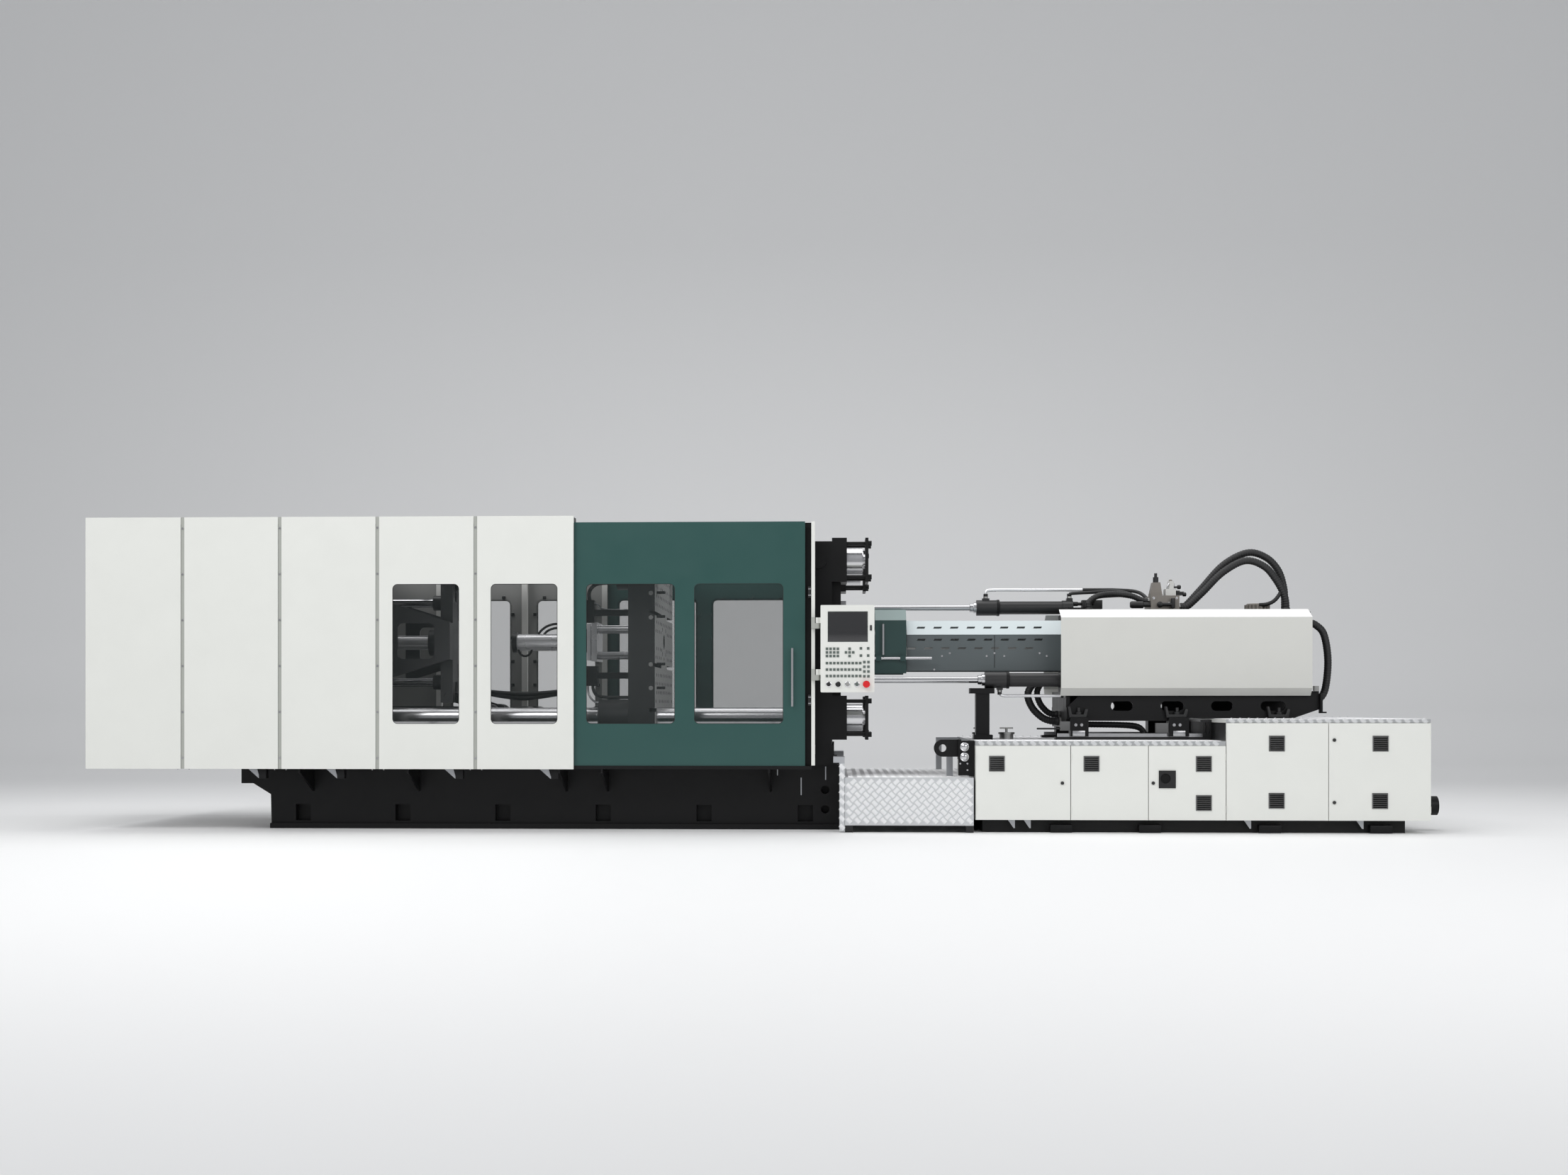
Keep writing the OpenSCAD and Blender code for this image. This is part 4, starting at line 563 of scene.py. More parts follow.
@dataclass
class Solid:
    """Plain shapes, in millimetres, collected into one mesh."""

    verts: list[Point] = field(default_factory=list)
    faces: list[tuple[int, ...]] = field(default_factory=list)

    def _put(self, verts: list[Point], faces: list[tuple[int, ...]]) -> None:
        """Adds vertices and the faces that count from the first of them.

        Args:
            verts: The vertices.
            faces: The faces' vertex numbers.
        """
        start = len(self.verts)
        self.verts += verts
        self.faces += [tuple(i + start for i in f) for f in faces]

    def box(self, x0: float, x1: float, y0: float, y1: float, z0: float, z1: float) -> "Solid":
        """Adds a box.

        Args:
            x0: Its lower limit in X.
            x1: Its upper limit in X.
            y0: Its lower limit in Y.
            y1: Its upper limit in Y.
            z0: Its lower limit in Z.
            z1: Its upper limit in Z.

        Returns:
            This collection.
        """
        verts = [(x, y, z) for x in (x0, x1) for y in (y0, y1) for z in (z0, z1)]
        self._put(verts, [
            (0, 1, 3, 2), (4, 6, 7, 5), (0, 4, 5, 1), (2, 3, 7, 6), (0, 2, 6, 4), (1, 5, 7, 3)])
        return self

    def lathe(self, start: Point, axis: str, profile: Profile, sides: int = 40) -> "Solid":
        """Adds a turned shape.

        Args:
            start: Where the profile's distance 0 lies.
            axis: "x", "y" or "z", or "-x", "-y" or "-z".
            profile: Pairs of distance along the axis and radius.
            sides: The number of sides.

        Returns:
            This collection.
        """
        sign = -1.0 if axis[0] == "-" else 1.0
        index = "xyz".index(axis[-1])
        others = [i for i in range(3) if i != index]
        verts = []
        for along, radius in profile:
            for k in range(sides):
                point = [0.0, 0.0, 0.0]
                point[index] = start[index] + sign * along
                point[others[0]] = start[others[0]] + radius * math.cos(2 * math.pi * k / sides)
                point[others[1]] = start[others[1]] + radius * math.sin(2 * math.pi * k / sides)
                verts.append(tuple(point))
        last = (len(profile) - 1) * sides
        faces = [
            (low + k, low + (k + 1) % sides, low + sides + (k + 1) % sides, low + sides + k)
            for low in range(0, last, sides) for k in range(sides)]
        faces += [tuple(range(sides)), tuple(last + k for k in range(sides))]
        self._put(verts, faces)
        return self

    def lathes(self, places: list[Point], axis: str, profile: Profile, sides: int = 40) -> "Solid":
        """Adds the same turned shape at several places, each as lathe does."""
        for place in places:
            self.lathe(place, axis, profile, sides)
        return self

    def ring(self, start: Point, axis: str, bore: float, profile: Profile, sides: int = 40) -> "Solid":
        """Adds a turned shape with a straight bore.

        Args:
            start: Where the profile's distance 0 lies.
            axis: As in lathe.
            bore: The bore's radius.
            profile: Pairs of distance along the axis and radius, from one face to the other.
            sides: The number of sides.

        Returns:
            This collection.
        """
        loop = [(profile[0][0], bore)] + profile + [(profile[-1][0], bore)]
        first = len(self.verts)
        self.lathe(start, axis, loop, sides)
        del self.faces[-2:]
        last = first + (len(loop) - 1) * sides
        self.faces += [
            (last + k, last + (k + 1) % sides, first + (k + 1) % sides, first + k) for k in range(sides)]
        return self

    def prism(self, outline: Profile, y0: float, y1: float) -> "Solid":
        """Adds an extruded outline.

        Args:
            outline: The outline's points in X and Z.
            y0: Where it starts in Y.
            y1: Where it ends in Y.

        Returns:
            This collection.
        """
        n = len(outline)
        verts = [(x, y, z) for y in (y0, y1) for x, z in outline]
        faces = [tuple(range(n)), tuple(range(n, 2 * n))]
        faces += [(k, (k + 1) % n, n + (k + 1) % n, n + k) for k in range(n)]
        self._put(verts, faces)
        return self

    def frame(self, outer: Profile, inner: Profile, y0: float, y1: float) -> "Solid":
        """Adds a flat frame between two outlines.

        Args:
            outer: The outer outline's points in X and Z.
            inner: The inner outline's points, as many.
            y0: Where it starts in Y.
            y1: Where it ends in Y.

        Returns:
            This collection.
        """
        n = len(outer)
        verts = [(x, y, z) for y in (y0, y1) for x, z in outer + inner]
        faces = []
        for k in range(n):
            m = (k + 1) % n
            faces += [
                (k, m, n + m, n + k), (2 * n + k, 2 * n + m, 3 * n + m, 3 * n + k),
                (k, m, 2 * n + m, 2 * n + k), (n + k, n + m, 3 * n + m, 3 * n + k)]
        self._put(verts, faces)
        return self


def rounded(x0: float, x1: float, z0: float, z1: float, r: float, steps: int = 8) -> Profile:
    """Gives the outline of a rectangle with round corners.

    Args:
        x0: Its left edge.
        x1: Its right edge.
        z0: Its lower edge.
        z1: Its upper edge.
        r: The corners' radius.
        steps: The number of pieces of a corner.

    Returns:
        Its points, anticlockwise.
    """
    corners = ((x1 - r, z0 + r, -90), (x1 - r, z1 - r, 0), (x0 + r, z1 - r, 90), (x0 + r, z0 + r, 180))
    turns = [(x, z, math.radians(a + 90 * i / steps)) for x, z, a in corners for i in range(steps + 1)]
    return [(x + r * math.cos(turn), z + r * math.sin(turn)) for x, z, turn in turns]


def spline(points: list[Point], steps: int) -> list[Vector]:
    """Runs a smooth curve through points.

    Args:
        points: The points that it passes through.
        steps: The number of pieces between two points.

    Returns:
        The curve's points.
    """
    p = [Vector(q) for q in points]
    out = []
    for i in range(len(p) - 1):
        a, b, c, d = p[max(i - 1, 0)], p[i], p[i + 1], p[min(i + 2, len(p) - 1)]
        for s in range(steps):
            t = s / steps
            square, cube = 2 * a - 5 * b + 4 * c - d, 3 * b - a - 3 * c + d
            out.append(0.5 * (2 * b + (c - a) * t + square * t * t + cube * t * t * t))
    return out + [p[-1]]


@dataclass(frozen=True)
class Span:
    """Two bodies that a bending piece joins.

    Args:
        first: The body at its start. Not used.
        second: The body at its end. Not used.
        start: Where it leaves the first body, in millimetres. Not used.
        end: Where it meets the second one. Not used.
    """

    first: str
    second: str
    start: Point
    end: Point


# Degrees between two faces from which an edge is bevelled, and from which it stays sharp
BEVEL_ANGLE, SMOOTH_ANGLE = 40, 35


class Workshop:
    """Turns shapes into objects that ride on the part's bodies."""

    def __init__(self, shop: MaterialShop) -> None:
        """Keeps the shop where materials come from."""
        self.shop = shop

    def object(self, name: str, mesh: bpy.types.Mesh, body: str | Span) -> bpy.types.Object:
        """Makes the object of a finished mesh and puts it on its body.

        Args:
            name: The object's name.
            mesh: Its mesh, in metres.
            body: The CAD body that it moves with, or the two that it runs between, which leave it fixed in
                place.

        Returns:
            The object.
        """
        piece = bpy.data.objects.new(name, mesh)
        bpy.context.scene.collection.objects.link(piece)
        if isinstance(body, Span):
            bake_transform(piece)
        else:
            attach(piece, body)
        LOG.info("%s: %d faces", name, len(mesh.polygons))
        return piece

    def make(
            self, name: str, solid: Solid, finish: Finish, body: str = "machine",
            bevel: float = 0.0) -> bpy.types.Object:
        """Makes a piece from plain shapes.

        Args:
            name: The piece's name.
            solid: Its shapes.
            finish: Its finish.
            body: The CAD body that it moves with.
            bevel: The width of the bevel on its sharp edges, in millimetres.

        Returns:
            The object.
        """
        mesh = bpy.data.meshes.new(name)
        mesh.from_pydata([Vector(v) * MM for v in solid.verts], [], solid.faces)
        work = bmesh.new()
        work.from_mesh(mesh)
        bmesh.ops.recalc_face_normals(work, faces=work.faces)
        if bevel:
            sharp = [
                e for e in work.edges if e.is_manifold and e.calc_face_angle() > math.radians(BEVEL_ANGLE)]
            bmesh.ops.bevel(work, geom=sharp, offset=bevel * MM, segments=2, affect="EDGES", profile=0.6)
        work.to_mesh(mesh)
        work.free()
        return self.object(name, self.smooth(mesh, finish), body)

    def smooth(self, mesh: bpy.types.Mesh, finish: Finish | None = None) -> bpy.types.Mesh:
        """Shades a mesh smoothly up to its sharp edges.

        Args:
            mesh: The mesh.
            finish: A finish to give it, unless it has its materials.

        Returns:
            The same mesh.
        """
        mesh.polygons.foreach_set("use_smooth", [True] * len(mesh.polygons))
        mesh.set_sharp_from_angle(angle=math.radians(SMOOTH_ANGLE))
        if finish:
            mesh.materials.clear()
            mesh.materials.append(self.shop.get(finish))
        return mesh

    def grow(
            self, name: str, tree: "RuleTree", points: list[Point], body: str | Span, finish: Finish,
            values: dict[str, object]) -> bpy.types.Object:
        """Makes a piece by a Geometry Nodes rule and bakes it to a plain mesh.

        Args:
            name: The piece's name.
            tree: The rule.
            points: The points that the rule starts from, in millimetres.
            body: The CAD body that it moves with.
            finish: The finish of its main material.
            values: The rule's inputs by name, lengths in metres.

        Returns:
            The object.
        """
        seed = bpy.data.meshes.new(name)
        edges = [(i, i + 1) for i in range(len(points) - 1)] if tree.follows_path else []
        seed.from_pydata([Vector(p) * MM for p in points], edges, [])
        carrier = bpy.data.objects.new(name + " rule", seed)
        bpy.context.scene.collection.objects.link(carrier)
        modifier = carrier.modifiers.new("rule", "NODES")
        modifier.node_group = tree.tree
        for key, value in {**values, "Material": self.shop.get(finish)}.items():
            modifier[tree.identifiers[key]] = value
        bpy.context.view_layer.update()
        graph = bpy.context.evaluated_depsgraph_get()
        mesh = bpy.data.meshes.new_from_object(carrier.evaluated_get(graph))
        carrier.modifiers.clear()
        bpy.data.objects.remove(carrier)
        mesh.name = name
        return self.object(name, self.smooth(mesh), body)


class RuleTree(NodeGraph):
    """A Geometry Nodes tree with named inputs."""

    def __init__(self, name: str, defaults: dict[str, object], follows_path: bool = False) -> None:
        """Makes an empty tree with a geometry input and output and a material input.

        Args:
            name: The tree's name.
            defaults: The other inputs' defaults by name.
            follows_path: Whether its seed mesh is a path and not loose points.
        """
        super().__init__(bpy.data.node_groups.new(name, "GeometryNodeTree"))
        self.follows_path = follows_path
        self.tree.interface.new_socket("Geometry", in_out="INPUT", socket_type="NodeSocketGeometry")
        self.outputs(Geometry="Geometry")
        self.identifiers = self.inputs({**defaults, "Material": None})
        self.given = self.add("NodeGroupInput")

    def __getitem__(self, key: str) -> bpy.types.NodeSocket:
        """Gives the output socket of a named input."""
        return self.given.outputs[key]

    def close(self, geometry: object) -> "RuleTree":
        """Ends the tree in realised instances with the material.

        Args:
            geometry: The node or socket of the finished geometry.

        Returns:
            This tree.
        """
        real = self.add("GeometryNodeRealizeInstances", Geometry=geometry)
        dressed = self.add("GeometryNodeSetMaterial", Geometry=real, Material=self["Material"])
        self.add("NodeGroupOutput", Geometry=dressed)
        return self

    def scatter(self, instance: object) -> "RuleTree":
        """Ends the tree in an instance on each seed point, turned by the input Turn."""
        return self.close(self.add(
            "GeometryNodeInstanceOnPoints", Points=self["Geometry"], Instance=instance,
            Rotation=self["Turn"]))


class Rules:
    """The Geometry Nodes rules that several pieces use."""

    def __init__(self) -> None:
        """Builds every rule."""
        self.fasteners = self._fasteners()
        self.tread = self._tread()
        self.bars = self._bars()
        self.ribbed = self._ribbed()

    @staticmethod
    def _fasteners() -> RuleTree:
        """Builds the rule of fastener heads, each with a washer.

        Returns:
            The rule.
        """
        rule = RuleTree("fastener heads", {
            "Sides": 6, "Radius": 0.01, "Height": 0.006, "Washer": 0.014, "Turn": Euler()})
        head = rule.add(
            "GeometryNodeMeshCone", Vertices=rule["Sides"], Radius_Bottom=rule["Radius"],
            Radius_Top=rule.math("MULTIPLY", rule["Radius"], 0.86), Depth=rule["Height"])
        thin = rule.math("MULTIPLY", rule["Height"], 0.3)
        washer = rule.add("GeometryNodeMeshCylinder", Vertices=20, Radius=rule["Washer"], Depth=thin)
        lift = rule.add("ShaderNodeCombineXYZ", Z=rule.math("MULTIPLY", thin, 0.5))
        both = rule.add("GeometryNodeJoinGeometry", Geometry=head)
        rule.feed(both.inputs[0], rule.add("GeometryNodeTransform", Geometry=washer, Translation=lift))
        return rule.scatter(both)

    @staticmethod
    def _tread() -> RuleTree:
        """Builds the rule of a checker plate's bars, in groups of five that turn from one to the next.

        Returns:
            The rule.
        """
        rule = RuleTree("tread bars", {
            "Length": 1.0, "Width": 1.0, "Columns": 10, "Rows": 10, "Bar": 0.03, "Height": 0.002,
            "Gap": 0.009, "Turn": Euler()})
        grid = rule.add(
            "GeometryNodeMeshGrid", Size_X=rule["Length"], Size_Y=rule["Width"], Vertices_X=rule["Columns"],
            Vertices_Y=rule["Rows"])
        bar = rule.add("GeometryNodeMeshCone", Vertices=6, Radius_Bottom=0.5, Radius_Top=0.2, Depth=1.0)
        scale = rule.add(
            "ShaderNodeCombineXYZ", X=rule["Bar"], Y=rule.math("MULTIPLY", rule["Bar"], 0.2),
            Z=rule["Height"])
        slim = rule.add("GeometryNodeTransform", Geometry=bar, Scale=scale)
        step = rule.add("ShaderNodeCombineXYZ", Y=rule["Gap"])
        back = rule.add("ShaderNodeCombineXYZ", Y=rule.math("MULTIPLY", rule["Gap"], -2.0))
        line = rule.add("GeometryNodeMeshLine", Count=5, Start_Location=back, Offset=step)
        five = rule.add("GeometryNodeInstanceOnPoints", Points=line, Instance=slim)
        index = rule.add("GeometryNodeInputIndex")
        column = rule.math("FLOOR", rule.math("DIVIDE", index, rule["Rows"]))
        row = rule.math("MODULO", index, rule["Rows"])
        used = rule.math("LESS_THAN", rule.math("MODULO", rule.math("ADD", column, row), 2.0), 0.5)
        quarter = rule.math("MULTIPLY", rule.math("MODULO", column, 2.0), math.pi / 2)
        turn = rule.add("ShaderNodeCombineXYZ", Z=rule.math("ADD", quarter, math.pi / 4))
        return rule.scatter(rule.add(
            "GeometryNodeInstanceOnPoints", Points=grid, Instance=five, Selection=used, Rotation=turn))

    @staticmethod
    def _bars() -> RuleTree:
        """Builds the rule of small blocks.

        Returns:
            The rule.
        """
        rule = RuleTree("small blocks", {"Size": Vector((0.01, 0.01, 0.01)), "Turn": Euler()})
        return rule.scatter(rule.add("GeometryNodeMeshCube", Size=rule["Size"]))

    @staticmethod
    def _ribbed() -> RuleTree:
        """Builds the rule of a hose along a path, whose radius falls by the input Rib at every other step.

        Returns:
            The rule.
        """
        rule = RuleTree("ribbed hose", {"Radius": 0.03, "Rib": 0.0, "Pitch": 0.006}, follows_path=True)
        curve = rule.add("GeometryNodeMeshToCurve", Mesh=rule["Geometry"])
        fine = rule.add("GeometryNodeResampleCurve", {"mode": "LENGTH"}, Curve=curve, Length=rule["Pitch"])
        index = rule.add("GeometryNodeInputIndex")
        phase = rule.math("MODULO", rule.math("FLOOR", rule.math("DIVIDE", index, 2.0)), 2.0)
        radius = rule.math("SUBTRACT", rule["Radius"], rule.math("MULTIPLY", phase, rule["Rib"]))
        thick = rule.add("GeometryNodeSetCurveRadius", Curve=fine, Radius=radius)
        ring = rule.add("GeometryNodeCurvePrimitiveCircle", Resolution=20, Radius=1.0)
        tube = rule.add("GeometryNodeCurveToMesh", Curve=thick, Profile_Curve=ring, Fill_Caps=True)
        if "Scale" in tube.inputs:
            rule.feed(tube.inputs["Scale"], radius)
        return rule.close(tube)


@dataclass
class SubAssembly:
    """A group of added pieces.

    Args:
        workshop: Makes the objects.
        rules: The Geometry Nodes rules.
    """

    workshop: Workshop
    rules: Rules

    def build(self) -> None:
        """Adds the group's pieces."""
        raise NotImplementedError

    def make(
            self, name: str, solid: Solid, finish: Finish, body: str = "machine",
            bevel: float = 0.0) -> bpy.types.Object:
        """Makes a piece from plain shapes, as the workshop's make does."""
        return self.workshop.make(name, solid, finish, body, bevel)

    def bolts(
            self, name: str, points: list[Point], body: str, finish: Finish, radius: float, height: float,
            turn: Point = FRONT, sides: int = 6, washer: float = 0.0) -> None:
        """Adds a field of fastener heads, with washers of 1.35 times their radius if none is given."""
        self.workshop.grow(name, self.rules.fasteners, points, body, finish, {
            "Sides": sides, "Radius": radius * MM, "Height": height * MM,
            "Washer": (washer or radius * 1.35) * MM, "Turn": turn})

    def blocks(self, name: str, points: list[Point], body: str, finish: Finish, size: Point) -> None:
        """Adds a field of small blocks, by their middles and their size."""
        edges = tuple(edge * MM for edge in size)
        self.workshop.grow(name, self.rules.bars, points, body, finish, {"Size": edges})

    def hose(
            self, name: str, body: str | Span, finish: Finish, radius: float, points: list[Point],
            rib: float = 0.0, pitch: float = 16.0, steps: int = 8) -> None:
        """Adds a hose or pipe along a smooth curve, with a ring of the mesh at every pitch."""
        path = [tuple(q) for q in spline(points, steps)]
        values = {"Radius": radius * MM, "Rib": rib * MM, "Pitch": pitch * MM}
        self.workshop.grow(name, self.rules.ribbed, path, body, finish, values)


def plane(y: float, *pairs: tuple[float, float]) -> list[Point]:
    """Puts pairs of X and Z on the plane at a Y."""
    return [(x, y, z) for x, z in pairs]


def window_edges(windows: tuple[tuple[float, float], ...], sign: int, y: float) -> Solid:
    """Makes the thin rubber lips inside the windows' openings.

    Args:
        windows: The windows' left and right edges.
        sign: -1 for the front, 1 for the rear.
        y: The sheet's distance from the centreline.

    Returns:
        The lips.
    """
    lips = Solid()
    low, high = WINDOW_Z
    for x0, x1 in windows:
        lips.frame(
            rounded(x0 - 0.2, x1 + 0.2, low - 0.2, high + 0.2, 40),
            rounded(x0 + 4, x1 - 4, low + 4, high - 4, 36), sign * (y - 2.6), sign * (y - 0.2))
    return lips


@dataclass
class CoverDetails(SubAssembly):
    """Screws, window edges, brackets and liner clips of the clamp covers."""

    screw_z: tuple[float, ...] = tuple(569 + i * 356.4 for i in range(6))
    bracket_x: tuple[float, ...] = (-4243.0, -3629.0, -2703.0, -1960.0)
    clip: Point = (28, 18, 26)
    clip_y: float = 1138

    def build(self) -> None:
        """Adds the pieces on the front and the rear."""
        strips = [COVER_LEFT + i * PANEL_PITCH for i in range(1, 5)]
        for sign, word, turn in SIDES:
            screws = [(x, sign * (COVER_Y - 5), z) for x in strips for z in self.screw_z]
            self.bolts(f"strip_screws_{word}", screws, "machine", CHROME, 8.2, 5.0, turn, 20, 9.5)
            self.make(f"window_edges_{word}", window_edges(COVER_WINDOWS, sign, COVER_Y), GASKET)
            low = [(x + d, sign * (COVER_Y - 12), 482) for x in strips for d in (-42, 48)]
            self.bolts(f"low_screws_{word}", low, "machine", CHROME, 5.0, 5.0, UNDER, 12)
        clips = [(x, z) for x0, x1 in COVER_WINDOWS for x in (x0 - 24, x1 + 24) for z in CLIP_Z]
        clips += [(x0 + d, CLIP_TOP) for x0, _ in COVER_WINDOWS for d in (60, 260, 460)]
        for sign, word, _ in SIDES:
            self.blocks(
                f"liner_clips_{word}", plane(sign * self.clip_y, *clips), "machine", GASKET, self.clip)
        self._brackets()

    def _brackets(self) -> None:
        """Adds the gussets and blocks under the covers."""
        gussets, blocks = Solid(), Solid()
        for x in self.bracket_x:
            gussets.prism([(x, 483), (x + 70, 483), (x + 92, 409), (x + 84, 409)], -1092, -1086)
            blocks.box(x + 92, x + 150, -1120, -1060, 409, 484)
        for x, z0, z1 in ((-130, 424, 476), (57, 269, 407), (250, 390, 494)):
            gussets.box(x - 4, x + 4, -724, -720.2, z0, z1)
        self.make("cover_gussets", gussets, CHANNEL)
        self.make("cover_blocks", blocks, BLACK, bevel=2.0)


@dataclass
class GuardDetails(SubAssembly):
    """Window lips of the guard doors, and the clips inside them."""

    clip: Point = (28, 28, 24)
    clip_y: float = DOOR_Y - 22
    clip_x: tuple[float, ...] = (-884, -785)

    def build(self) -> None:
        """Adds the pieces on both doors."""
        clips = [(x, z) for x in self.clip_x for z in CLIP_Z]
        clips += [(x0 + d, CLIP_TOP) for x0, _ in DOOR_WINDOWS for d in (90, 340, 590)]
        for sign, word, _ in SIDES:
            body = f"{word}_guard"
            self.make(f"door_lips_{word}", window_edges(DOOR_WINDOWS, sign, DOOR_Y), GASKET, body)
            self.blocks(f"door_clips_{word}", plane(sign * self.clip_y, *clips), body, GREEN, self.clip)


@dataclass
class ClampDetails(SubAssembly):
    """Hoses and small parts inside the clamp covers, and the sensors beside the platen."""

    sensor_y: float = 1108
    sensor_z: tuple[float, ...] = (1847, 1016)
    sag_y: float = 972
    core_y: float = -600
    hole_z: tuple[float, ...] = (-490, -420, -350, -280, -140, -70, 70, 140, 280, 350, 420, 490)

    def build(self) -> None:
        """Adds the pieces."""
        self._sensors()
        self._hoses()
        self._cores()
        self._platen_face()
        clamps = Solid()
        for x, z in ((-2990, 1190), (-1900, 1218)):
            clamps.box(x - 24, x + 24, 950, 1012, z - 60, z + 50)
        self.make("hose_clamps", clamps, BLACK, bevel=3.0)

    def _sensors(self) -> None:
        """Adds the doors' sensors with their screws."""
        sensors, heads = Solid(), []
        for sign in (-1, 1):
            y = sign * self.sensor_y
            for z in self.sensor_z:
                sensors.box(118, 141, y - 18, y + 18, z - 42, z + 42)
                heads += [(x, y + 18 * sign, z + d) for x in (124, 135) for d in (-24, 24)]
        self.make("door_sensors", sensors, PLASTIC, bevel=2.0)
        half = len(heads) // 2
        self.bolts("sensor_screws", heads[:half], "machine", CHROME, 4.0, 3.0, FRONT, 12)
        self.bolts("rear_sensor_screws", heads[half:], "machine", CHROME, 4.0, 3.0, REAR, 12)

    def _hoses(self) -> None:
        """Adds the hoses and pipes that are seen through the windows."""
        sag, core = self.sag_y, self.core_y
        runs = (
            ("sagging_hose_upper", "machine", RUBBER, 21, plane(
                sag, (-2990, 1190), (-2860, 1125), (-2726, 1096), (-2430, 1078), (-2133, 1096),
                (-2010, 1125), (-1900, 1190))),
            ("sagging_hose_lower", "machine", RUBBER, 21, plane(
                sag, (-2990, 1150), (-2860, 1105), (-2726, 1080), (-2580, 1056), (-2430, 1042),
                (-2280, 1056), (-2133, 1080), (-2010, 1105), (-1900, 1160))),
            ("ejector_hose_long", "moving", RUBBER, 10, plane(
                0, (-2147, 1556), (-2135, 1582), (-2108, 1611), (-2062, 1640), (-1988, 1656), (-1850, 1650),
                (-1750, 1610), (-1722, 1570))),
            ("ejector_hose_short", "moving", RUBBER, 10, plane(
                40, (-2110, 1550), (-2092, 1582), (-2055, 1608), (-1990, 1624), (-1880, 1618),
                (-1790, 1590), (-1760, 1556))),
            ("ejector_hose_loop", "moving", RUBBER, 9, [
                (-2304, -30, 1440), (-2292, -46, 1410), (-2268, -52, 1391), (-2246, -54, 1386),
                (-2222, -52, 1391), (-2203, -46, 1410), (-2192, -30, 1440)]),
            ("core_pipe_upper", "moving", CHROME, 8, plane(
                core, (-1600, 1790), (-1566, 1780), (-1543, 1750), (-1466, 1738), (-1344, 1735),
                (-1300, 1735))),
            ("core_hose_upper", "moving", RUBBER, 15, plane(
                core, (-1636, 1812), (-1640, 1880), (-1600, 1935), (-1520, 1955), (-1300, 1958))),
            ("core_pipe_lower", "moving", CHROME, 8, plane(
                core, (-1650, 1140), (-1648, 1090), (-1630, 1040), (-1581, 1000), (-1480, 992),
                (-1300, 992))),
            ("core_hose_lower", "moving", RUBBER, 13, plane(
                core, (-1610, 1140), (-1606, 1100), (-1580, 1060), (-1500, 1042), (-1300, 1042))),
        )
        for run in runs:
            self.hose(*run, pitch=25, steps=6)

    def _cores(self) -> None:
        """Adds the core-pulling blocks with their unions, and the pins of the clamps on the platen."""
        blocks = Solid().box(-1668, -1596, -640, -566, 1637, 1817).box(-1668, -1565, -640, -566, 1133, 1291)
        blocks.box(-1690, -1664, -630, -576, 1660, 1700).box(-1690, -1664, -630, -576, 1240, 1275)
        blocks.box(-1600, -1304, -640, -626, 1690, 1740).box(-1570, -1304, -640, -626, 1190, 1240)
        self.make("core_blocks", blocks, BLACK, "moving", 3.0)
        places = plane(self.core_y, (-1420, 1736), (-1360, 1735), (-1400, 992))
        unions = Solid().lathes(places, "x", [(0, 8), (0, 14), (26, 14), (26, 8)], 6)
        self.make("core_unions", unions, CHROME, "moving")
        places = plane(-640, (-1096, 1875), (-1096, 1685), (-1096, 1307), (-1096, 1117))
        pins = Solid().lathes(places, "x", [(0, 11), (66, 11), (70, 8)], 16)
        self.make("clamp_pins", pins, GASKET, "moving")

    def _platen_face(self) -> None:
        """Adds the screws of the moving platen's mould face, and its tapped holes as thin disks of painted
        shade.
        """
        screws = plane(-793, (-1126, 1863), (-1126, 1671), (-1126, 1300), (-1126, 1114))
        self.bolts("platen_screws", screws, "moving", STEEL, 13.0, 9.0, sides=16)
        holes = [
            (-1094, y, 1500 + dz) for row, dz in enumerate(self.hole_z)
            for y in range(-700 + 70 * (row % 2), 720, 140) if self.open_face(y, dz)]
        # Each tapped hole is a thin disk of painted shade.
        self.bolts("platen_holes", holes, "moving", BORE_SHADE, 11.0, 0.8, (0, math.pi / 2, 0), 12)

    @staticmethod
    def open_face(y: float, dz: float) -> bool:
        """Tells if a tapped hole keeps clear of the bars, rods, rings and screws of the mould face."""
        taken = ((620, 620, 150), (420, 420, 40), (150, 100, 50), (0, 0, 110))
        return all(math.hypot(abs(y) - a, abs(dz) - b) > reach for a, b, reach in taken)


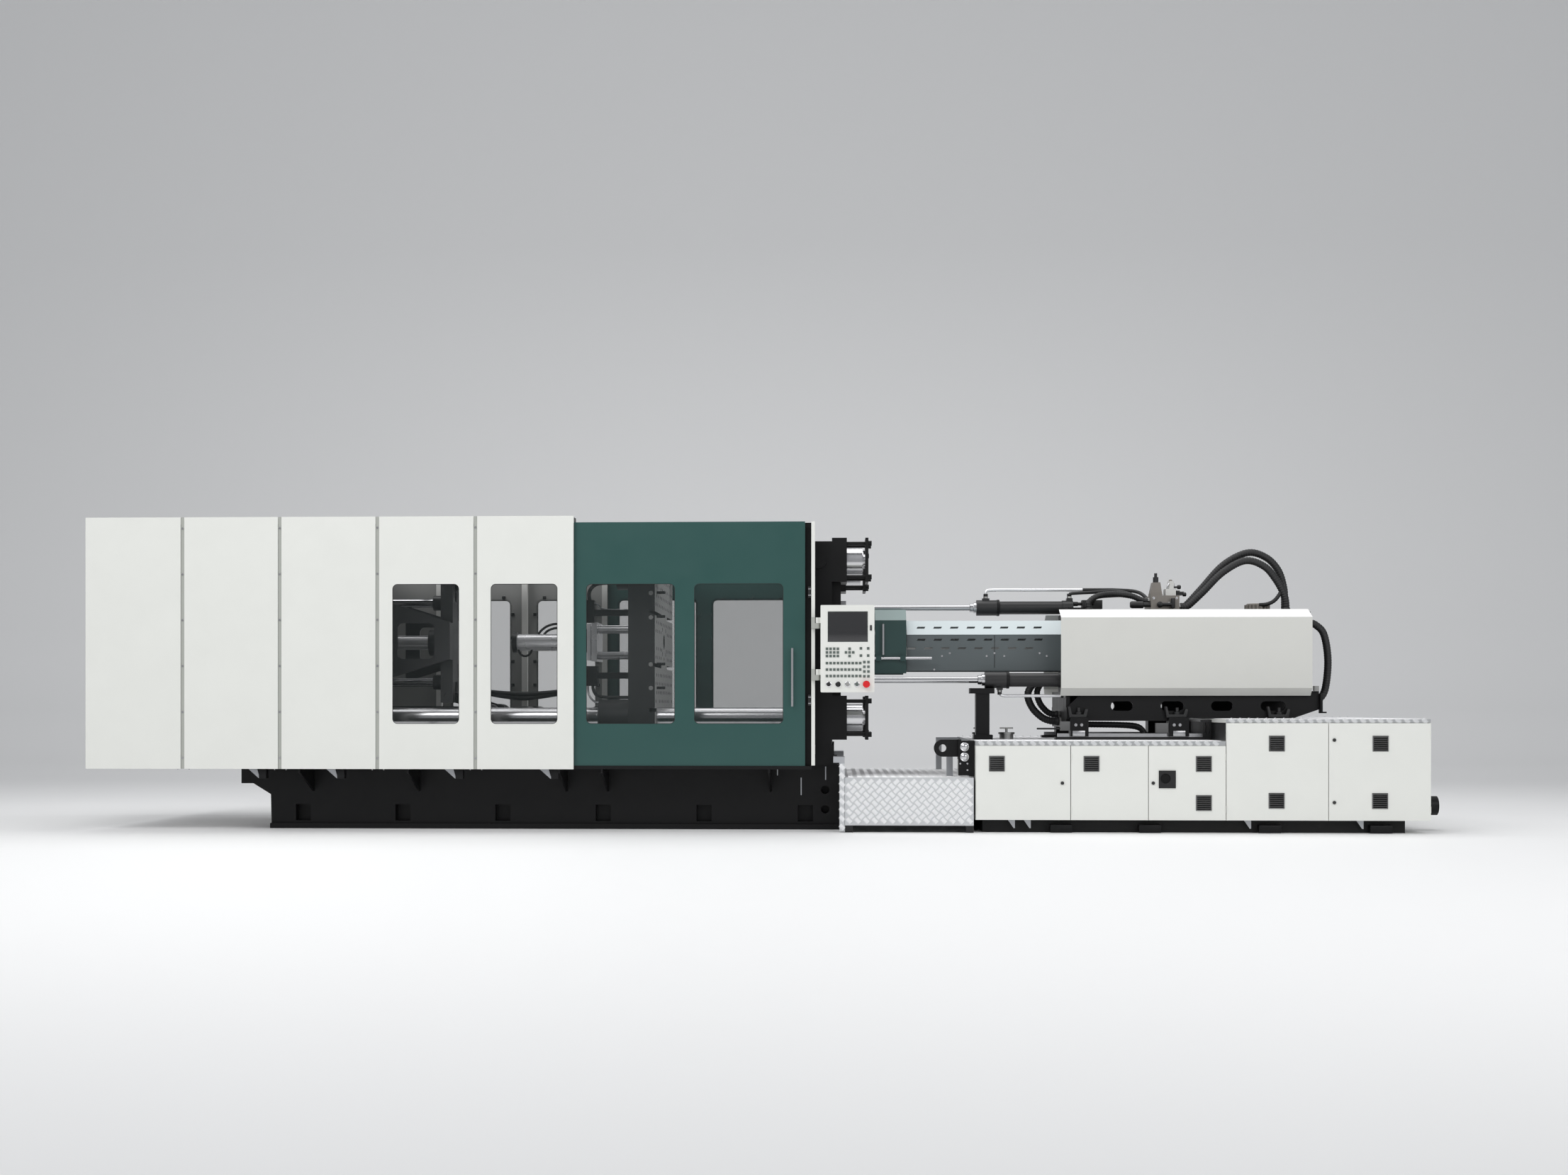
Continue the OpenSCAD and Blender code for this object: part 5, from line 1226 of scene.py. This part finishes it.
@dataclass
class TreadPlates(SubAssembly):
    """Raised bars of the checker plates."""

    pitch: float = 33.0
    bar: float = 40.0
    height: float = 3.0
    gap: float = 9.2

    def plate(
            self, name: str, centre: Point, length: float, width: float, turn: Point = (0, 0, 0),
            # The bars take a lighter aluminium as painted highlight.
            finish: Finish = TREAD_BAR_HIGHLIGHT) -> None:
        """Adds the bars of one plate, turned from one that lies flat."""
        columns, rows = max(int(length / self.pitch), 1), max(int(width / self.pitch), 1)
        self.workshop.grow(name, self.rules.tread, [centre], "machine", finish, {
            "Length": (columns - 1) * self.pitch * MM, "Width": (rows - 1) * self.pitch * MM,
            "Columns": columns, "Rows": rows, "Bar": self.bar * MM, "Height": self.height * MM,
            "Gap": self.gap * MM, "Turn": turn})

    def build(self) -> None:
        """Adds the platform's and the decks' plates, flat and upright ones."""
        decks = (
            ("platform", *PLATFORM_X, 422.0), ("low_deck", CAB_X, LOW_RIGHT, LOW_H),
            ("tall_deck", LOW_RIGHT, CAB_RIGHT, TALL_H))
        edges = (("low", CAB_X, LOW_RIGHT, 686), ("tall", LOW_RIGHT, CAB_RIGHT, 858))
        for name, x0, x1, z in decks:
            self.plate(f"{name}_tread", ((x0 + x1) / 2, 0, z), x1 - x0 - 50, 2 * CAB_Y - 80)
        for sign, word, turn in SIDES:
            face, edge = sign * CAB_Y, sign * (CAB_Y - 10)
            self.plate(f"platform_tread_{word}", (893.5, face, 240), 965, 350, turn)
            self.plate(f"end_post_tread_{word}", (378, face, 272), 40, 500, turn)
            for name, x0, x1, z in edges:
                self.plate(
                    # The edge bars take the deck bars' painted highlight.
                    f"{name}_edge_tread_{word}", ((x0 + x1) / 2, edge, z), x1 - x0 - 40, 40, turn, DECK_BAR_HIGHLIGHT)


@dataclass
class HoseWork(SubAssembly):
    """The injection unit's hoses and pipes, in place of the CAD part's plain ones."""

    rib_pitch: float = 5.0
    plain_pitch: float = 16.0
    nut: float = 17.0
    sleeve: float = 39.0

    def build(self) -> None:
        """Adds each hose along the CAD part's own curve, and the fittings."""
        runs = (
            ("manifold_hose_long", RUBBER, 30, 2.2, [
                (3150, 60, 1780), (3210, 60, 1800), (3330, 50, 1930), (3510, 30, 2130), (3700, 0, 2228),
                (3850, 0, 2190), (3950, 0, 2085), (3995, 0, 1945), (4003, 0, 1830), (4003, 0, 1765)]),
            ("manifold_hose_short", RUBBER, 30, 2.2, [
                (3150, -90, 1780), (3200, -90, 1790), (3320, -90, 1900), (3480, -90, 2060),
                (3660, -100, 2155), (3810, -110, 2110), (3905, -120, 2000), (3970, -130, 1870),
                (3984, -130, 1765)]),
            ("end_hose", RUBBER, 30, 2.0, plane(
                -200, (4160, 1640), (4200, 1630), (4270, 1550), (4302, 1340), (4280, 1110), (4225, 1020),
                (4180, 1006))),
            ("front_hose_outer", RUBBER, 30, 2.0, plane(
                -150, (2169, 1205), (2110, 1206), (1960, 1165), (1895, 1070), (1930, 960), (2010, 880),
                (2080, 852), (2134, 848))),
            ("front_hose_inner", RUBBER, 26, 2.0, plane(
                -60, (2170, 1205), (2130, 1205), (2030, 1170), (1980, 1090), (2000, 1000), (2050, 935),
                (2095, 908), (2136, 903))),
            ("rear_pipe", BRIGHT_REFLECTION, 14, 0.0, plane(
                450, (1600, 1894), (1602, 1934), (1650, 1955), (2000, 1955), (2420, 1955))),
            ("rear_pipe_hose", RUBBER, 15, 0.0, [
                (2416, 450, 1955), (2560, 450, 1955), (2700, 445, 1953), (2870, 410, 1934),
                (2945, 330, 1864), (2960, 250, 1784), (2960, 180, 1780)]),
            ("block_pipe", RUBBER, 10, 0.0, [
                (2495, 404, 1830), (2497, 375, 1850), (2520, 320, 1878), (2600, 190, 1884),
                (2740, 30, 1876), (2820, -10, 1840), (2889, -20, 1796)]),
            ("motor_hose", RUBBER, 16, 1.2, [
                (3975, -128, 1960), (3952, -130, 1918), (3920, -130, 1862), (3881, -130, 1822),
                (3830, -125, 1800), (3785, -80, 1797)]),
            ("valve_link", CHROME, 7, 0.0, [
                (3042, -30, 1925), (3048, -32, 1955), (3061, -32, 1979), (3080, -32, 1988),
                (3096, -32, 1975), (3098, -30, 1950)]),
            ("valve_pipe", RUBBER, 14, 0.0, [
                (2305, 450, 1894), (2308, 445, 1919), (2350, 430, 1926), (2500, 290, 1926),
                (2640, 120, 1924), (2760, 60, 1894), (2830, 60, 1844), (2875, 60, 1840)]),
            ("seat_hose", RUBBER, 24, 1.6, [
                (2385, -190, 1762), (2388, -188, 1820), (2470, -170, 1872), (2600, -120, 1886),
                (2740, -90, 1872), (2820, -90, 1840), (2872, -90, 1830)]),
            ("front_pipe", BRIGHT_REFLECTION, 12, 0.0, plane(
                -450, (1640, 1091), (1641, 1077), (1668, 1055), (1800, 1054), (2000, 1054), (2150, 1054))),
        )
        for name, finish, radius, rib, points in runs:
            pitch = self.rib_pitch if rib else self.plain_pitch
            self.hose(name, CARRIAGE, finish, radius, points, rib, pitch)
        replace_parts(self.fittings(), "hoses")

    def fittings(self) -> bpy.types.Object:
        """Adds the hexagon and ferrule at each end of the hoses.

        Returns:
            The ferrules' object.
        """
        ends = (
            ((3120, 60, 1780), "x", 36), ((3120, -90, 1780), "x", 36), ((4003, 0, 1730), "z", 34),
            ((3984, -130, 1730), "z", 34), ((4130, -200, 1640), "x", 36), ((4151, -200, 1006), "x", 36),
            ((2200, -150, 1205), "-x", 36), ((2165, -150, 848), "-x", 36), ((2200, -60, 1205), "-x", 32),
            ((2165, -60, 903), "-x", 32), ((2385, -190, 1730), "z", 28), ((2890, -90, 1830), "-x", 28),
            ((1600, 450, 1884), "z", 20), ((2960, 160, 1780), "y", 20), ((2305, 450, 1884), "z", 20),
            ((2890, 60, 1840), "-x", 20), ((1640, -450, 1101), "-z", 18), ((2165, -450, 1054), "-x", 18),
        )
        nuts, sleeves = Solid(), Solid()
        for place, axis, radius in ends:
            top, rim, slim = radius * 0.92, radius * 0.9, radius * 0.95
            hexagon = [(0.3, radius * 0.94), (1.5, radius), (self.nut - 2, radius), (self.nut, top)]
            nuts.lathe(place, axis, hexagon, 6)
            ferrule = [
                (self.nut + 0.2, rim), (self.nut + 2, slim), (self.sleeve - 3, slim), (self.sleeve, rim)]
            sleeves.lathe(place, axis, ferrule, 32)
        self.make("hose_nuts", nuts, STEEL, CARRIAGE)
        return self.make("hose_sleeves", sleeves, PLASTIC, CARRIAGE)


@dataclass
class CarriageDetails(SubAssembly):
    """Screws, clamps, valves and caps of the injection unit."""

    plate_y: float = -560
    plate_face: float = -515.3
    cylinder_y: float = 450
    hood_y: float = 270.5
    teeth: int = 18
    hose_y: tuple[float, ...] = (-390, -345, -300)

    def build(self) -> None:
        """Adds the pieces."""
        self._guides()
        self._caps()
        self._knobs()
        self._cylinders()
        self._deck_hoses()
        self._manifold()
        self._hood()
        end = Solid().box(4151.3, 4170, self.plate_y, -500, 925, 1070)
        end.box(4151.3, 4200, self.plate_y, -500, 915, 927)
        self.make("end_plate", end, BLACK, CARRIAGE, 2.0)
        clip = Solid().box(4103, 4140, self.plate_y, self.plate_face, 1091, 1131)
        self.make("end_clip", clip, IVORY, CARRIAGE, 2.0)

    def _guides(self) -> None:
        """Adds the guide blocks' screws and pads, and the cradles on the side plates."""
        heads = [(x0 + d, -571, 822) for x0 in (2192, 2965) for d in (39, 85)]
        self.bolts("guide_block_screws", heads, CARRIAGE, CHROME, 9.0, 8.0)
        cradles, pads = Solid(), Solid()
        for x0, x1 in ((2172, 2328), (2935, 3115), (3736, 3915)):
            outline = [
                (x0, 968), (x0 + 16, 968), (x0 + 30, 905), (x1 - 34, 905), (x1 - 20, 950), (x1, 944),
                (x1 - 12, 881), (x0 + 12, 881)]
            cradles.prism(outline, self.plate_y, self.plate_face)
            screw = [(0, 26), (18, 26), (22, 14), (52, 14), (56, 10)]
            cradles.lathe(((x0 + x1) / 2 + 8, -538, 905), "z", screw, 24)
        self.make("side_plate_cradles", cradles, PLASTIC, CARRIAGE, 1.5)
        for x0, x1 in ((2205, 2303), (2996, 3091)):
            pads.box(x0, x1, -578, -570.3, 733, 775)
        self.make("guide_block_pads", pads, CHROME, CARRIAGE, 1.0)

    def _caps(self) -> None:
        """Adds the manifold's caps and the motor's toothed top."""
        caps = Solid()
        for place, radius, length in (((2955, 0, 1906), 24, 40), ((3076, 0, 1996), 14, 14)):
            caps.lathe(place, "z", [(0, radius), (length - 6, radius), (length, radius - 6)])
        caps.lathe((3780, 0, 1750), "z", [(0, 84), (6, 90), (52, 90), (60, 80)], 48)
        turns = [2 * math.pi * k / self.teeth for k in range(self.teeth)]
        ring = [(3780 + 90 * math.cos(turn), 90 * math.sin(turn), 1758) for turn in turns]
        self.make("valve_caps", caps.lathes(ring, "z", [(0, 13), (42, 13)], 12), MANIFOLD, CARRIAGE)

    def _knobs(self) -> None:
        """Adds the knobs, elbow and solenoid of the manifold."""
        places, knob = plane(-40, (3166, 1886), (3122, 1946)), [(0, 10), (4, 17), (26, 17), (30, 12)]
        knobs = Solid().lathes(places, "x", knob, 16)
        knobs.lathe((2962, -160, 1797), "-y", [(0, 24), (14, 24), (16, 17), (44, 17), (46, 12)], 24)
        knobs.lathe((2975, -190, 1797), "x", [(0, 14), (84, 14)], 16)
        knobs.lathe((3062, -190, 1764), "z", [(0, 12), (3, 17), (80, 17), (84, 12)], 16)
        knobs.lathe((2889.7, -135, 1797), "-x", [(0, 20), (56, 20), (60, 29), (150, 29), (164, 22)], 24)
        knobs.box(3107, 3168, -50, 20, 1880, 1892).box(3092, 3124, -50, 20, 1940, 1952)
        self.make("valve_knobs", knobs, PLASTIC, CARRIAGE, 1.0)

    def _cylinders(self) -> None:
        """Adds the carriage cylinders' glands, collars and valve, and the small parts beside them."""
        glands, collars = Solid(), Solid()
        for y, z in ((-self.cylinder_y, 1181), (self.cylinder_y, 1804)):
            glands.ring((1464, y, z), "x", 26.5, [(0, 34), (3, 37), (30, 37), (33, 46), (56, 46)])
            collars.ring((1692, y, z), "x", 55.3, [(0, 66), (3, 70), (20, 70), (23, 66)])
        self.make("rod_glands", glands, CHROME, CARRIAGE)
        self.make("cylinder_collars", collars, BLACK, CARRIAGE)
        block = Solid().box(2408, 2578, 405, 495, 1792, 1867)
        block.lathe(
            (2334.5, self.cylinder_y, 1836), "x", [(0, 14), (8, 19), (40, 19), (44, 14), (76, 14)], 16)
        self.make("cylinder_valve", block, PLASTIC, CARRIAGE, 2.0)
        extras = Solid().box(2862, 2962, -562, -520, 759, 837).box(2110, 2190, self.plate_y, -520, 776, 850)
        self.make("grey_blocks", extras, VENT_GREY, CARRIAGE, 2.0)
        rod = Solid().lathe((2110, -540, 792), "-x", [(0, 7), (180, 7), (184, 5)], 16)
        self.make("feeler_rod", rod, PLASTIC, CARRIAGE)

    def _deck_hoses(self) -> None:
        """Adds the hoses that bend between the carriage and the deck."""
        for n, y in enumerate(self.hose_y):
            drop = 6 * n
            path = plane(
                y, (2195.3, 828 - drop), (2300, 830 - drop), (2600, 826 - drop), (2735, 815 - drop),
                (2790, 778), (2800, 740), (2800, 702.3))
            span = Span(CARRIAGE, "machine", (2250, y, 828), (2780, y, 828))
            self.hose(f"deck_hose_{n + 1}", span, RUBBER, 19, path, 1.4, 6)

    def _manifold(self) -> None:
        """Adds the manifold's screws and plugs."""
        bolts = [(x, -161, z) for x in (2912, 3098) for z in (1722, 1850)]
        self.bolts("manifold_screws", bolts, CARRIAGE, CHROME, 8.0, 8.0)
        places = plane(-160, (2960, 1800), (3040, 1800), (2960, 1740), (3040, 1740))
        ports = Solid().lathes(places, "-y", [(0, 20), (8, 20), (9, 14), (12, 14)], 6)
        self.make("manifold_plugs", ports, STEEL, CARRIAGE)

    def _hood(self) -> None:
        """Adds the barrel cover's screws and seams."""
        hood = [
            (1253, 1400), (1614, 1400), (1978, 1400), (1190, 1377), (1551, 1377), (1693, 1377),
            (2035, 1377), (1127, 1268)]
        self.bolts("hood_screws", plane(-self.hood_y, *hood), CARRIAGE, CHROME, 6.0, 4.0, FRONT, 16)
        self.bolts("rear_hood_screws", plane(self.hood_y, *hood), CARRIAGE, CHROME, 6.0, 4.0, REAR, 16)
        seam = Solid().box(1612, 1617, -271.2, -269.5, 1282, 1545).box(1612, 1617, 269.5, 271.2, 1282, 1545)
        self.make("hood_seams", seam, PLASTIC, CARRIAGE)


@dataclass
class DeckDetails(SubAssembly):
    """Small parts on the gauge block and the plinth."""

    gauge_z: tuple[float, ...] = (579, 657)
    gusset_x: tuple[float, ...] = (1652, 1773, 3450, 4300)
    foot_x: tuple[float, ...] = (1974, 2650, 3560, 4400)
    foot_y: float = 1030
    foot_length: float = 168

    def build(self) -> None:
        """Adds the pieces."""
        dial = [(0, 34), (3, 34), (5, 30), (4, 26), (9, 20), (12, 10), (13, 2)]
        domes = Solid().lathes([(1322, -1018, z) for z in self.gauge_z], "-y", dial, 48)
        self.make("gauge_faces", domes, CHROME)
        screws = plane(-1001, (1290, 527), (1345, 527), (1345, 477))
        self.bolts("gauge_screws", screws, "machine", CHROME, 5.0, 4.0, sides=12)
        gussets, feet = Solid(), Solid()
        for x in self.gusset_x:
            gussets.prism([(x, 97), (x + 54, 97), (x + 54, 33), (x + 44, 33)], -1040, -1034)
        self.make("plinth_gussets", gussets, CHANNEL)
        for x in self.foot_x:
            for y in (-self.foot_y, self.foot_y):
                feet.box(x, x + self.foot_length, y - 30, y + 30, 1, 60)
        self.make("plinth_feet", feet, BLACK, bevel=3.0)


@dataclass
class PanelDetails(SubAssembly):
    """The operator panel's screen and latch, and its controls' bezels."""

    body: str = "operator_panel"
    bezel_pitch: float = 71.5
    bezels: int = 4

    def build(self) -> None:
        """Adds the pieces."""
        x, y, z = HMI_X, HMI_Y, HMI_Z
        screen = Solid().box(x + 58, x + 356, y - 1.5, y + 2, z + 387, z + 612)
        self.make("screen_glass", screen, SCREEN, self.body, 1.0)
        places = [(x + 62 + i * self.bezel_pitch, y + 1, z + 61) for i in range(self.bezels)]
        ring = Solid().lathes(places, "-y", [(0, 21), (4, 21), (5, 19)])
        self.make("control_bezels", ring, CHROME, self.body)
        latch = Solid().box(x + 376, x + 390, y - 6, y + 1, z + 470, z + 510)
        self.make("panel_latch", latch, PLASTIC, self.body, 1.0)


@dataclass
class Studio:
    """Floor, lights, world and camera, in metres."""

    half_width: int = 40
    sweep: tuple[tuple[float, float], ...] = (
        (-30.0, 0.0), (9.0, 0.0), (11.0, 0.15), (12.6, 0.9), (13.5, 2.2), (14.0, 4.0), (14.0, 18.0))
    floor_drop: float = 0.0005
    world_colour: tuple[float, ...] = (0.92, 0.94, 0.97, 1)
    world_strength: float = 0.4
    sensor: float = 36.0
    lens: float = 43.13
    shift: tuple[float, float] = (0.0158, 0.0760)
    camera_place: Point = (0.330, -15.550, 0.967)
    camera_turn: Point = (math.pi / 2, 0.0, 0.04073)

    def build(self, shop: MaterialShop) -> None:
        """Adds all of the stage.

        Args:
            shop: Where the floor's material comes from.
        """
        floor = Finish("studio floor", (246, 246, 246), Surface.SHEET, "", 0.6, grain=0.0, relief=0.0)
        verts = [(x, y, z) for y, z in self.sweep for x in (-self.half_width, self.half_width)]
        faces = [(i, i + 1, i + 3, i + 2) for i in range(0, len(verts) - 2, 2)]
        mesh = bpy.data.meshes.new("studio_floor")
        mesh.from_pydata(verts, [], faces)
        mesh.polygons.foreach_set("use_smooth", [True] * len(faces))
        mesh.materials.append(self.one_sided(shop.get(floor)))
        sweep = bpy.data.objects.new("studio_floor", mesh)
        bpy.context.scene.collection.objects.link(sweep)
        sweep.location.z = -self.floor_drop
        lamps = [
            self.area("key", (-5.5, -9.0, 8.5), (-1.0, 0.0, 1.0), 9.0, 5.0, 540.0),
            self.area("fill", (7.5, -10.0, 5.5), (1.5, 0.0, 1.0), 8.0, 5.0, 290.0),
            self.area("top", (0.0, 0.5, 9.0), (0.0, 0.0, 0.0), 14.0, 7.0, 580.0)]
        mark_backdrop(sweep, *lamps)
        world = bpy.data.worlds.new("studio")
        world.use_nodes = True
        background = world.node_tree.nodes["Background"].inputs
        background["Color"].default_value = self.world_colour
        background["Strength"].default_value = self.world_strength
        bpy.context.scene.world = world
        self.camera()

    @staticmethod
    def one_sided(material: bpy.types.Material) -> bpy.types.Material:
        """Makes the floor's sweep clear from behind, so that it hides nothing from any side.

        Args:
            material: The floor's material.

        Returns:
            The same material.
        """
        graph = NodeGraph(material.node_tree)
        end = next(node for node in graph.tree.nodes if node.type == "OUTPUT_MATERIAL").inputs["Surface"]
        behind = graph.add("ShaderNodeNewGeometry").outputs["Backfacing"]
        clear = graph.add("ShaderNodeBsdfTransparent")
        graph.feed(end, graph.add("ShaderNodeMixShader", i0=behind, i1=end.links[0].from_socket, i2=clear))
        return material

    @staticmethod
    def area(
            name: str, place: Point, target: Point, width: float, height: float,
            power: float) -> bpy.types.Object:
        """Adds a soft rectangular light.

        Args:
            name: The light's name.
            place: Where it stands.
            target: The point that it looks at.
            width: Its width.
            height: Its height.
            power: Its power in watts.

        Returns:
            The light's object.
        """
        data = bpy.data.lights.new(name, "AREA")
        data.shape = "RECTANGLE"
        data.size, data.size_y, data.energy = width, height, power
        lamp = bpy.data.objects.new(name, data)
        bpy.context.scene.collection.objects.link(lamp)
        lamp.location = place
        aim = Vector(target) - Vector(place)
        lamp.rotation_euler = aim.to_track_quat("-Z", "Y").to_euler()
        return lamp

    def camera(self) -> None:
        """Adds the camera at the photo's place, angle and crop."""
        data = bpy.data.cameras.new("camera")
        data.sensor_width = self.sensor
        data.lens = self.lens
        data.shift_x, data.shift_y = self.shift
        data.clip_end = 120.0
        camera = bpy.data.objects.new("camera", data)
        camera.location = self.camera_place
        camera.rotation_euler = self.camera_turn
        bpy.context.scene.collection.objects.link(camera)
        bpy.context.scene.camera = camera


def dress_nodes(shop: MaterialShop) -> None:
    """Gives every CAD node its finish.

    Args:
        shop: Where materials come from.
    """
    for name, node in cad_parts.items():
        finish = NODE_FINISH.get(name, BLACK)
        if name.startswith("cabinet_door"):
            material = shop.get(WHITE, DOOR_LAYERS, "cabinet doors")
        elif name in NODE_LAYERS:
            material = shop.get(finish, NODE_LAYERS[name], name.replace("_", " "))
        else:
            material = shop.get(finish)
        node.data.materials.clear()
        node.data.materials.append(material)
        LOG.info("%s: %s", name, material.name)


def measure(label: str, sizes: dict[str, object]) -> None:
    """Notes the object's bounds under a label."""
    low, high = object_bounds()
    sizes[label] = {"low": list(low), "high": list(high)}


GROUPS = (
    CoverDetails, GuardDetails, ClampDetails, TreadPlates, HoseWork, CarriageDetails, DeckDetails,
    PanelDetails)


def main() -> None:
    """Dresses the CAD nodes, adds the pieces and sets the stage."""
    logging.basicConfig(level=logging.INFO)
    sizes: dict[str, object] = {}
    measure("cad", sizes)
    shop = MaterialShop()
    workshop = Workshop(shop)
    rules = Rules()
    dress_nodes(shop)
    for group in GROUPS:
        group(workshop, rules).build()
    Studio().build(shop)
    bpy.context.scene.view_settings.view_transform = "Standard"
    measure("visual", sizes)


if __name__ == "__main__":
    main()
